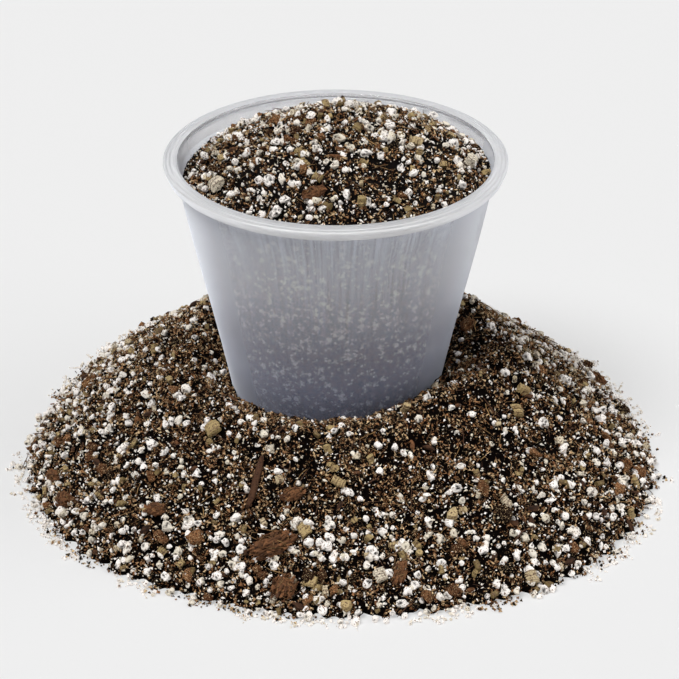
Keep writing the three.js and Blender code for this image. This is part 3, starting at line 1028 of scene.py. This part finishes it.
class POTTING_OT_pot(bpy.types.Operator):
    """Turn the frosted pot with its flanged lip"""

    bl_idname = "potting.pot"
    bl_label = "Frosted pot"
    wall_steps = 24
    round_steps = 6
    sharp_angle = math.radians(40)
    mouth_band = 6 * MM  # how far the frosted band inside the mouth reaches below the lip

    def execute(self, context):
        pot = context.scene.potting_pot
        wall = shared_mix(context).wall
        rings = np.array(self.profile(pot, wall))
        radius, height = (np.repeat(rings[:, [column]], pot.segments, 1) for column in (0, 1))
        mesh = turned_mesh("pot_shell", radius, height, self.sharp_angle)
        add_piece("pot_shell", mesh, wall_material(pot), ["pot"])
        for material in (lip_material, inside_material, mouth_material):
            mesh.materials.append(material(pot))
        for face in mesh.polygons:
            face.material_index = self.finish_of(face, pot, wall)
        return {"FINISHED"}

    def profile(self, pot, wall):
        """Radius and height of each ring, from under the floor, over the lip and down to the floor's top."""
        base, top, rim = POT_LOW.z, POT_HIGH.z, POT_HIGH.x
        edge = top - pot.lip_drop
        root = edge - pot.lip_thickness
        lip_foot = edge - pot.lip_depth
        mouth = float(wall.inside(top))
        corner, small = pot.base_round, pot.edge_round
        corner_reach = float(wall.outside(base + corner)) - corner
        quarter = [(math.sin(a), math.cos(a)) for a in np.linspace(0, math.pi / 2, self.round_steps)]
        up_outside = np.linspace(base + corner, root, self.wall_steps)[1:]
        down_inside = np.linspace(top - small, base + pot.floor, self.wall_steps)[1:]
        return [
            (0, base),
            *((corner_reach + corner * s, base + corner * (1 - c)) for s, c in quarter),
            *((float(wall.outside(z)), z) for z in up_outside),
            (rim - pot.lip_thickness, root),
            (rim - pot.lip_thickness - pot.lip_lean, lip_foot),
            (rim - pot.lip_lean, lip_foot),
            *((rim - small * (1 - c), edge - small * (1 - s)) for s, c in quarter),
            *((mouth + small * (1 - s), top - small * (1 - c)) for s, c in quarter),
            *((float(wall.inside(z)), z) for z in down_inside),
            (0, base + pot.floor),
        ]

    def finish_of(self, face, pot, wall):
        """Which of the pot's four materials a face has."""
        on_wall, on_lip, inside, in_mouth = range(4)
        x, y, z = face.center
        distance = math.hypot(x, y)
        outward = (face.normal.x * x + face.normal.y * y) / max(distance, MM)
        mouth = float(wall.inside(POT_HIGH.z))
        edge = POT_HIGH.z - pot.lip_drop
        beyond, below = 0.2 * MM, 0.1 * MM
        if distance > mouth + beyond and z > edge - pot.lip_depth - below:
            faces_up, faces_out = face.normal.z > 0.5, outward > 0.3
            return on_lip if faces_up or faces_out else inside
        if distance < mouth and z > edge - pot.lip_thickness - self.mouth_band:
            return in_mouth if outward < 0 else on_wall
        if distance < float(wall.inside(z)) + pot.wall / 2 and z > POT_LOW.z + pot.floor / 2:
            return inside
        return on_wall


class POTTING_OT_ground(bpy.types.Operator):
    """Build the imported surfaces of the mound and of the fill"""

    bl_idname = "potting.ground"
    bl_label = "Packed mix"
    pore_depth = 2 * MM
    roughness = ((0.55 * MM, 2.2 * MM), (0.4 * MM, 1.1 * MM))  # height and size of its swings
    mound_segments, mound_rings = 480, 80
    mound_gap = 0.15 * MM  # between the mound and the pot
    wall_searches = 4  # steps that find where the mound meets the pot's wall
    socket_rings = 3
    mound_drawn_in = 0.985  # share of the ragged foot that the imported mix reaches
    mound_least = 0.4 * MM  # height at the foot
    fill_segments, fill_rings = 260, 40
    fill_gap = 0.3 * MM  # between the fill and the pot
    fill_slack = ((0, 0.3, 0.85, 1), (0, 0, 3.5 * MM, 0.4 * MM))  # further gap, by the way up the fill
    pore_fade = 12  # pores fade out over the outer twelfth of the fill's radius
    hollow_depth, hollow_size = 0.5 * MM, 9 * MM

    def execute(self, context):
        mix = shared_mix(context)
        add_piece("mound_ground", self.mound_mesh(mix), ground_material(mix.settings), ["mound"])
        add_piece("fill_ground", self.fill_mesh(mix), fill_material(mix.settings), ["pot_mix"])
        return {"FINISHED"}

    def rough(self, mix, x, y):
        return sum(height * smooth_noise(mix.rng, x, y, size) for height, size in self.roughness)

    def mound_mesh(self, mix):
        """The mound with a socket for the pot, from the socket's floor out to the foot."""
        gap = self.mound_gap
        turn = full_turn(self.mound_segments)
        inner = np.full(self.mound_segments, mix.bed_radius)
        for _ in range(self.wall_searches):
            inner = mix.wall.outside(mix.mound.at(*polar(inner, turn))) + gap
        outer = mix.foot.ragged(turn) * self.mound_drawn_in
        way = np.linspace(0, 1, self.mound_rings)[:, None]
        radius = inner + (outer - inner) * way
        x, y = polar(radius, turn)
        height = mix.mound.at(x, y)
        height += self.rough(mix, x, y) - self.pore_depth * mix.mound.pore(x, y)
        height = np.maximum(height, self.mound_least)
        bed = POT_LOW.z - gap
        steps = np.linspace(0, 1, self.socket_rings + 1)[:-1, None]
        side_height = bed + (height[0] - bed) * steps
        side = np.minimum(mix.wall.outside(side_height) + gap, inner)
        zero = np.zeros((1, self.mound_segments))
        radius = np.vstack([zero, side, radius, outer[None], zero])
        height = np.vstack([zero + bed, side_height, height, zero, zero])
        return turned_mesh("mound_ground", radius, height)

    def fill_mesh(self, mix):
        """The fill, which stands off the wall most a little below its edge."""
        turn = full_turn(self.fill_segments)
        way = np.linspace(1, 0, self.fill_rings)[:-1, None]
        radius = mix.fill_radius * way * np.ones(self.fill_segments)
        x, y = polar(radius, turn)
        pore_depth = self.pore_depth * np.clip(self.pore_fade * (1 - way), 0, 1)
        height = mix.fill.at(x, y) + self.rough(mix, x, y) - pore_depth * mix.fill.pore(x, y)
        levels = np.linspace(0, 1, self.fill_rings)[:-1, None]
        side_height = mix.fill_floor + (height[0] - mix.fill_floor) * levels
        arc = turn * mix.fill_radius * np.ones_like(side_height)
        slack = np.interp(levels, *self.fill_slack)
        hollows = self.hollow_depth * np.abs(smooth_noise(mix.rng, arc, side_height, self.hollow_size))
        side = mix.wall.inside(side_height) - self.fill_gap - slack - hollows
        zero = np.zeros((1, self.fill_segments))
        radius = np.vstack([zero, side, radius, zero])
        height = np.vstack([zero + mix.fill_floor, side_height, height, zero + height[-1].mean()])
        return turned_mesh("fill_ground", radius, height)


class POTTING_OT_crumbs(bpy.types.Operator):
    """Strew peat splinters, crumbs and clods over the mound and the fill"""

    bl_idname = "potting.crumbs"
    bl_label = "Peat crumbs"
    variants = 24
    clod_variants = 16
    fill_thinned = 0.66  # share of the splinters and crumbs that is left on the fill

    def execute(self, context):
        mix = shared_mix(context)
        rng, settings = mix.rng, mix.settings
        thin, thin_faces = splinter()
        lump, lump_faces = ball(subdivisions=3)
        splinters = [jittered(rng, thin, least=0.6, most=1.5) for _ in range(self.variants)]
        splinters = Shapes(thin_faces, splinters)
        crumbs = [jittered(rng, thin, least=0.8, most=1.5) for _ in range(self.variants)]
        crumbs = Shapes(thin_faces, crumbs)
        clods = Shapes(lump_faces, [self.clod(rng, lump) for _ in range(self.clod_variants)])
        material = peat_material(settings)
        heap = Grains(rng)
        mix.strew_both(
            heap, clods, settings.clods,
            sizes=(1.4, 2, 4), lift=(-0.2, 0.4), tones=(0.42, 0.62), coarse=1.5,
        )
        # Lower splinters and crumbs get darker tones: painted shade between the grains.
        fine = {"even": True, "depth_shade": 0.4, "fine": True}
        for name, surface, thinned in (("mound", mix.mound, 1), ("fill", mix.fill, self.fill_thinned)):
            grains = Grains(rng)
            mix.strew(
                grains, splinters, surface, thinned * settings.splinters,
                sizes=(0.4, 0.8, 2), lift=(-0.1, 0.6), form=(1, 0.32, 0.28), tilt=0.8,
                keep_pores=0.9, **fine,
            )
            grains.add_to_scene(f"{name}_splinters", material)
            grains = Grains(rng)
            mix.strew(
                grains, crumbs, surface, thinned * settings.crumbs,
                sizes=(0.25, 0.42, 1.1), lift=(-0.2, 1.1), keep_pores=0.8, **fine,
            )
            if surface is mix.mound:
                mix.strew(
                    grains, crumbs, surface, settings.dust,
                    sizes=(0.25, 0.5, 1.2), lift=(0, 0.5), coarse=25, over=1.03, patchy=0.0, fine=True,
                )
            grains.add_to_scene(f"{name}_crumbs", material)
        heap.add_to_scene("clods", material)
        return {"FINISHED"}

    def clod(self, rng, lump):
        rugged = lumpy(rng, broken(rng, lump, flats=9, least=0.5), lumps=12, height=0.3, sharpness=12)
        return jittered(rng, rugged, least=0.8, most=1.12)


class POTTING_OT_perlite(bpy.types.Operator):
    """Strew perlite beads over the mound and the fill"""

    bl_idname = "potting.perlite"
    bl_label = "Perlite"
    speck_variants = 16
    lobe_height = 0.25
    pit_height = -0.45
    # The mark of a pit is its painted shade.
    mark_strength = 4  # how soon the mark of a pit is full, as it deepens

    def execute(self, context):
        mix = shared_mix(context)
        rng, settings = mix.rng, mix.settings
        material = perlite_material(settings)
        small, small_faces = crumb()
        bead, bead_faces = ball(subdivisions=2)
        nugget, nugget_faces = ball(subdivisions=3)
        specks = [jittered(rng, small, least=0.5, most=1.35) for _ in range(self.speck_variants)]
        specks = Shapes(small_faces, specks)
        beads = self.pitted(rng, bead, variants=32, lobes=4, roundness=6, pits=3, sharpness=16)
        beads = Shapes(bead_faces, *beads)
        nuggets = self.pitted(rng, nugget, variants=24, lobes=8, roundness=9, pits=11, sharpness=40)
        nuggets = Shapes(nugget_faces, *nuggets)
        rolled = Grains(rng)
        for name, surface in (("mound", mix.mound), ("fill", mix.fill)):
            grains = Grains(rng)
            mix.strew(
                grains, specks, surface, settings.specks,
                sizes=(0.2, 0.4, 1.1), lift=(0.1, 1.1), tones=(0, 1.3), form=(1.3, 0.9, 0.6), coarse=0.3,
            )
            if surface is mix.mound:
                mix.strew(
                    grains, specks, surface, settings.dust,
                    sizes=(0.25, 0.6, 1.3), lift=(0, 0.5), coarse=20, over=1.05, patchy=-0.1,
                )
                mix.strew(
                    rolled, beads, surface, settings.rolled,
                    sizes=(0.9, 1.3, 2.2), lift=(0, 0.5), coarse=16, over=1.02, patchy=-0.2,
                )
            grains.add_to_scene(f"{name}_specks", material)
            grains = Grains(rng)
            mix.strew(
                grains, beads, surface, settings.beads,
                sizes=(0.75, 1.2, 2.3), lift=(-0.1, 0.5), form=(1.1, 1, 0.9), coarse=0.55,
            )
            mix.strew(
                grains, nuggets, surface, settings.nuggets,
                sizes=(1.9, 2.1, 2.9), lift=(0.0, 0.45), coarse=1.2,
            )
            grains.add_to_scene(f"{name}_beads", material)
        rolled.add_to_scene("rolled_beads", material)
        add_loose(rng, "perlite_nuggets", "perlite", nuggets, (0, 0.8), material)
        return {"FINISHED"}

    def pitted(self, rng, grain, variants, lobes, roundness, pits, sharpness):
        """Shapes like popped corn, a few round lobes with pits, and shares of painted shade that darken the
        pits as they deepen.
        """
        shapes, hollow_shades = [], []
        for _ in range(variants):
            lobed = lumpy(rng, broken(rng, grain, flats=8, least=0.62), lobes, self.lobe_height, roundness)
            lobed = jittered(rng, lobed, least=0.9, most=1.08)
            made = lumpy(rng, lobed, pits, self.pit_height, sharpness)
            shapes.append(made)
            # The deeper a corner lies in a pit, the darker its painted shade.
            left = np.linalg.norm(made, axis=1) / np.linalg.norm(lobed, axis=1)
            hollow_shades.append(np.clip((1 - left) * self.mark_strength, 0, 1))
        return shapes, hollow_shades


class POTTING_OT_vermiculite(bpy.types.Operator):
    """Strew layered vermiculite chips over the mound and the fill"""

    bl_idname = "potting.vermiculite"
    bl_label = "Vermiculite"
    variants = 24
    half_height = 0.9
    groove_depth = 0.2

    def execute(self, context):
        mix = shared_mix(context)
        rng, settings = mix.rng, mix.settings
        material = vermiculite_material(settings)
        chips = self.layered(rng, sides=7, rings=7)
        blocks = self.layered(rng, sides=9, rings=11)
        grains = Grains(rng)
        mix.strew_both(
            grains, chips, settings.chips,
            sizes=(1.1, 1.6, 2.8), lift=(0.0, 0.6), form=(0.95, 0.8, 1), coarse=0.8,
        )
        grains.add_to_scene("vermiculite_chips", material)
        add_loose(rng, "vermiculite_blocks", "vermiculite", blocks, (0.35, 1), material)
        return {"FINISHED"}

    def layered(self, rng, sides, rings):
        """Stacks of thin layers with a broken outline, with painted shade marked in the grooves between the
        layers.
        """
        corner = np.arange((rings - 1) * sides).reshape(rings - 1, sides)
        beside = np.roll(corner, -1, 1)
        lower = np.stack([corner, beside, beside + sides], 2)
        upper = np.stack([corner, beside + sides, corner + sides], 2)
        fan = np.arange(1, sides - 1)
        lid = np.stack([np.zeros_like(fan), fan, fan + 1], 1)
        around = [lower.reshape(-1, 3), upper.reshape(-1, 3)]
        faces = np.vstack([*around, lid[:, ::-1], lid + (rings - 1) * sides])
        groove = np.arange(rings) % 2
        shapes, hollow_shades = [], []
        for _ in range(self.variants):
            turn = 2 * math.pi * (np.arange(sides) + rng.uniform(-0.3, 0.3, sides)) / sides
            outline = rng.uniform(0.62, 1.1, sides)
            reach = outline * rng.uniform(0.88, 1.04, (rings, 1)) * rng.uniform(0.95, 1.05, (rings, sides))
            depth = groove * rng.uniform(0.3, 1, rings)
            reach *= (1 - self.groove_depth * depth)[:, None]
            slid = np.cumsum(rng.uniform(-0.07, 0.07, (rings, 2)), 0)
            layers = np.cumsum(rng.uniform(0.35, 1.65, rings))
            half = self.half_height
            level = 2 * half * (layers - layers[0]) / (layers[-1] - layers[0]) - half
            height = level[:, None] + rng.uniform(-0.06, 0.06, (rings, sides))
            x, y = polar(reach, turn)
            shapes.append(np.stack([x + slid[:, :1], y + slid[:, 1:], height], 2).reshape(-1, 3))
            hollow_shades.append(np.repeat(depth, sides) * rng.uniform(0.5, 1, rings * sides))
        return Shapes(faces, shapes, hollow_shades)


class POTTING_OT_bark(bpy.types.Operator):
    """Strew bark chips and fibres over the mound and the fill, and lay the twig"""

    bl_idname = "potting.bark"
    bl_label = "Bark and fibres"
    variants = 16
    fibres_each = 22
    fibre_girth = 0.16 * MM
    fibre_seat = 0.8  # place of a fibre's middle, as a share of the lump's half lengths
    fibre_lean = 0.5
    fibre_lengths = (0.35, 0.6)  # half lengths, as shares of the lump's
    flakes_each = 110
    flake_seat = 0.95
    flake_lean = 0.35
    flake_lengths = (0.8 * MM, 2.2 * MM)
    flake_form = (1, 0.4, 0.3)

    def execute(self, context):
        mix = shared_mix(context)
        rng, settings = mix.rng, mix.settings
        material = bark_material(settings)
        small, small_faces = ball(subdivisions=2)
        large, large_faces = ball(subdivisions=4)
        chips = Shapes(small_faces, *self.splintered(rng, small, ridges=9))
        lumps = Shapes(large_faces, *self.splintered(rng, large, ridges=22))
        grains = Grains(rng)
        mix.strew_both(
            grains, chips, settings.bark,
            sizes=(1.2, 1.9, 3.8), lift=(0.0, 0.3), form=(1, 0.5, 0.36), tilt=0.4, coarse=0.8,
        )
        self.flakes(grains)
        grains.add_to_scene("bark_chips", material)
        add_loose(rng, "bark_lumps", "bark", lumps, (0.7, 1), material)
        strands = Grains(rng)
        thin, thin_faces = self.strand(sides=3, steps=7)
        bent = Shapes(thin_faces, [self.bent(rng, thin, bow=3) for _ in range(self.variants)])
        mix.strew_both(
            strands, bent, settings.fibres,
            sizes=(1.5, 2.8, 7), lift=(0.12, 0.3), form=(1, 0.05, 0.05), tilt=0.35, fine=True,
        )
        self.shag(strands, bent)
        strands.add_to_scene("fibres", fibre_material(settings), smooth=True)
        stout, stout_faces = self.strand(sides=9, steps=16)
        rough = jittered(rng, stout, least=0.9, most=1.1) * (0.9, 1, 1)
        stick = Shapes(stout_faces, [self.bent(rng, rough, bow=0.4)])
        add_loose(rng, "twig", "twig", stick, (0.1, 0.3), material, smooth=True)
        return {"FINISHED"}

    def shag(self, strands, bent):
        """Fibres that stand off the upper side of the bark lumps."""
        rng, count = strands.rng, self.fibres_each
        for node in nodes_named("bark"):
            middle, axes, sizes = node_pose(node)
            outward = directions(rng, count)
            centres = middle + (self.fibre_seat * outward * sizes) @ axes.T
            frames = facing(rng, unit(outward @ axes.T + self.fibre_lean * directions(rng, count)))
            length = rng.uniform(*self.fibre_lengths, count) * sizes[0]
            girth = np.full_like(length, self.fibre_girth)
            form = np.stack([length, girth, girth], 1)
            high = centres[:, 2] > middle[2] - 0.3 * sizes[2]
            strands.add(bent, centres[high], frames[high], form[high], rng.uniform(0.6, 1, high.sum()))

    def flakes(self, grains):
        """Flakes that lie along the bark lumps and break up their outlines."""
        rng, count = grains.rng, self.flakes_each
        thin, thin_faces = splinter()
        flakes = [jittered(rng, thin, least=0.6, most=1.5) for _ in range(self.variants)]
        shapes = Shapes(thin_faces, flakes)
        for node in nodes_named("bark"):
            middle, axes, sizes = node_pose(node)
            outward = directions(rng, count)
            centres = middle + (self.flake_seat * outward * sizes) @ axes.T
            along = unit(axes[:, 0] + self.flake_lean * directions(rng, count))
            across = unit(np.cross(outward @ axes.T, along))
            frames = np.stack([along, across, np.cross(along, across)], 2)
            form = rng.uniform(*self.flake_lengths, count)[:, None] * np.array(self.flake_form)
            grains.add(shapes, centres, frames, form, rng.uniform(0.5, 1, count))

    def splintered(self, rng, lump, ridges):
        """Lumps with ridges along their length, as bark breaks, and shares of painted shade that darken the
        grooves and dents.
        """
        shapes, hollow_shades = [], []
        for _ in range(self.variants):
            made = broken(rng, lump, flats=9, least=0.6)
            wander = 2.5 * np.sin(3 * made[:, 0] + rng.uniform(0, 6))
            groove = np.sin(ridges * (made[:, 1] + 0.4 * made[:, 2]) + wander)
            uneven = rng.uniform(-0.14, 0.08, len(made))
            shapes.append(made * (1 + 0.04 * groove + uneven)[:, None])
            # Deeper grooves and dents get more painted shade.
            hollow_shades.append(np.clip(0.15 - 0.3 * groove - 5 * uneven, 0, 1))
        return shapes, hollow_shades

    def strand(self, sides, steps):
        """A round stick along X, tapered at its ends."""
        turn = full_turn(sides)
        places, faces = [], []
        for x in np.linspace(-1, 1, steps):
            thick = 1 - 0.5 * abs(x) ** 3
            places += [(x, thick * math.cos(a), thick * math.sin(a)) for a in turn]
        for step in range(steps - 1):
            for side in range(sides):
                a, b = step * sides + side, step * sides + (side + 1) % sides
                faces += [(a, a + sides, b), (b, a + sides, b + sides)]
        places += [(-1, 0, 0), (1, 0, 0)]
        for side in range(sides):
            after = (side + 1) % sides
            last = (steps - 1) * sides
            faces += [(len(places) - 2, side, after), (len(places) - 1, last + after, last + side)]
        return np.array(places, float), np.array(faces)

    def bent(self, rng, strand, bow):
        """The stick, bowed sideways by chance and with a slight wave."""
        made = strand.copy()
        made[:, 1] += bow * rng.uniform(-1, 1) * (made[:, 0] ** 2 - 0.3)
        made[:, 1] += 0.2 * bow * np.sin(5 * made[:, 0] + rng.uniform(0, 6))
        return made


class POTTING_OT_stage(bpy.types.Operator):
    """Set up the camera, the pale floor and the soft studio light"""

    bl_idname = "potting.stage"
    bl_label = "Studio"
    sensor_width = 36
    floor_reach = 6.0

    def execute(self, context):
        stage = context.scene.potting_stage
        self.add_camera(context, stage)
        self.add_floor(stage)
        self.add_sun("key", stage.key, stage.key_spread, stage.key_height, stage.key_side)
        self.add_sun("side", stage.side, stage.side_spread, stage.side_height, -stage.side_turn)
        self.set_sky(context, stage)
        context.scene.view_settings.view_transform = "Standard"
        return {"FINISHED"}

    def add_camera(self, context, stage):
        data = bpy.data.cameras.new("camera")
        data.lens = stage.lens
        data.sensor_width = self.sensor_width
        camera = add_object("camera", data)
        back = Vector((0, -math.cos(stage.pitch), math.sin(stage.pitch)))
        camera.location = Vector((stage.aim_side, 0, stage.aim_height)) + stage.distance * back
        camera.rotation_euler = (math.pi / 2 - stage.pitch, 0, 0)
        context.scene.camera = camera

    def add_floor(self, stage):
        reach = self.floor_reach
        mesh = bpy.data.meshes.new("floor")
        corners = [(-reach, -reach, 0), (reach, -reach, 0), (reach, reach, 0), (-reach, reach, 0)]
        mesh.from_pydata(corners, [], [(0, 1, 2, 3)])
        floor = add_object("floor", mesh)
        backdrop = socket_colour(stage.backdrop)
        recipe = Recipe("floor", roughness=0.95, specular=0, base_color=backdrop)
        pale = recipe.node("ShaderNodeEmission", Color=backdrop)
        faded = recipe.math("MULTIPLY", self.seen_rays(recipe.tree), stage.shadow_fade)
        mixed = recipe.node("ShaderNodeMixShader")
        for place, value in enumerate((faded, recipe.shader.outputs[0], pale.outputs[0])):
            recipe.give(mixed.inputs[place], value)
        recipe.give(recipe.tree.nodes["Material Output"].inputs["Surface"], mixed.outputs[0])
        mesh.materials.append(recipe.material)

    def seen_rays(self, tree):
        """One for the rays that show floor and backdrop, and nought for those that light the object."""
        rays = tree.nodes.new("ShaderNodeLightPath")
        shown = rays.outputs["Is Camera Ray"]
        for name in ("Is Glossy Ray", "Is Transmission Ray"):
            either = tree.nodes.new("ShaderNodeMath")
            either.operation = "MAXIMUM"
            tree.links.new(shown, either.inputs[0])
            tree.links.new(rays.outputs[name], either.inputs[1])
            shown = either.outputs[0]
        return shown

    def add_sun(self, name, strength, spread, height, turn):
        """A soft lamp at a height above the horizon, turned to the left of the camera."""
        data = bpy.data.lights.new(name, "SUN")
        data.energy = strength
        data.angle = spread
        lamp = add_object(name, data)
        level = math.cos(height)
        towards = Vector((-level * math.sin(turn), -level * math.cos(turn), math.sin(height)))
        lamp.rotation_euler = towards.to_track_quat("Z", "Y").to_euler()

    def set_sky(self, context, stage):
        world = bpy.data.worlds.new("studio")
        context.scene.world = world
        world.use_nodes = True
        nodes, links = world.node_tree.nodes, world.node_tree.links
        light = nodes["Background"]
        light.inputs["Color"].default_value = (1, 1, 1, 1)
        light.inputs["Strength"].default_value = stage.sky
        seen = nodes.new("ShaderNodeBackground")
        seen.inputs["Color"].default_value = socket_colour(stage.backdrop)
        mixed = nodes.new("ShaderNodeMixShader")
        links.new(self.seen_rays(world.node_tree), mixed.inputs[0])
        links.new(light.outputs[0], mixed.inputs[1])
        links.new(seen.outputs[0], mixed.inputs[2])
        links.new(mixed.outputs[0], nodes["World Output"].inputs["Surface"])


class POTTING_PT_panel(bpy.types.Panel):
    """Lists what the pot of potting mix is made of"""

    bl_idname = "POTTING_PT_panel"
    bl_label = "Potting Mix"
    bl_space_type = "VIEW_3D"
    bl_region_type = "UI"
    bl_category = "Potting Mix"

    def draw(self, context):
        for operator in OPERATORS:
            self.layout.operator(operator.bl_idname)
        for group in GROUPS:
            settings = getattr(context.scene, group)
            box = self.layout.box()
            for name in settings.__annotations__:
                box.prop(settings, name)


OPERATORS = (
    POTTING_OT_stage,
    POTTING_OT_pot,
    POTTING_OT_ground,
    POTTING_OT_bark,
    POTTING_OT_vermiculite,
    POTTING_OT_perlite,
    POTTING_OT_crumbs,
)
GROUPS = {"potting_pot": PotSettings, "potting_mix": MixSettings, "potting_stage": StageSettings}


def register():
    for made in (*GROUPS.values(), *OPERATORS, POTTING_PT_panel):
        bpy.utils.register_class(made)
    for name, group in GROUPS.items():
        setattr(bpy.types.Scene, name, bpy.props.PointerProperty(type=group))


def unregister():
    for name in GROUPS:
        delattr(bpy.types.Scene, name)
    for made in reversed((*GROUPS.values(), *OPERATORS, POTTING_PT_panel)):
        bpy.utils.unregister_class(made)


def main():
    register()
    bpy.ops.potting.stage()
    bpy.ops.potting.pot()
    bpy.ops.potting.ground()
    bpy.ops.potting.bark()
    bpy.ops.potting.vermiculite()
    bpy.ops.potting.perlite()
    bpy.ops.potting.crumbs()


if __name__ == "__main__":
    main()
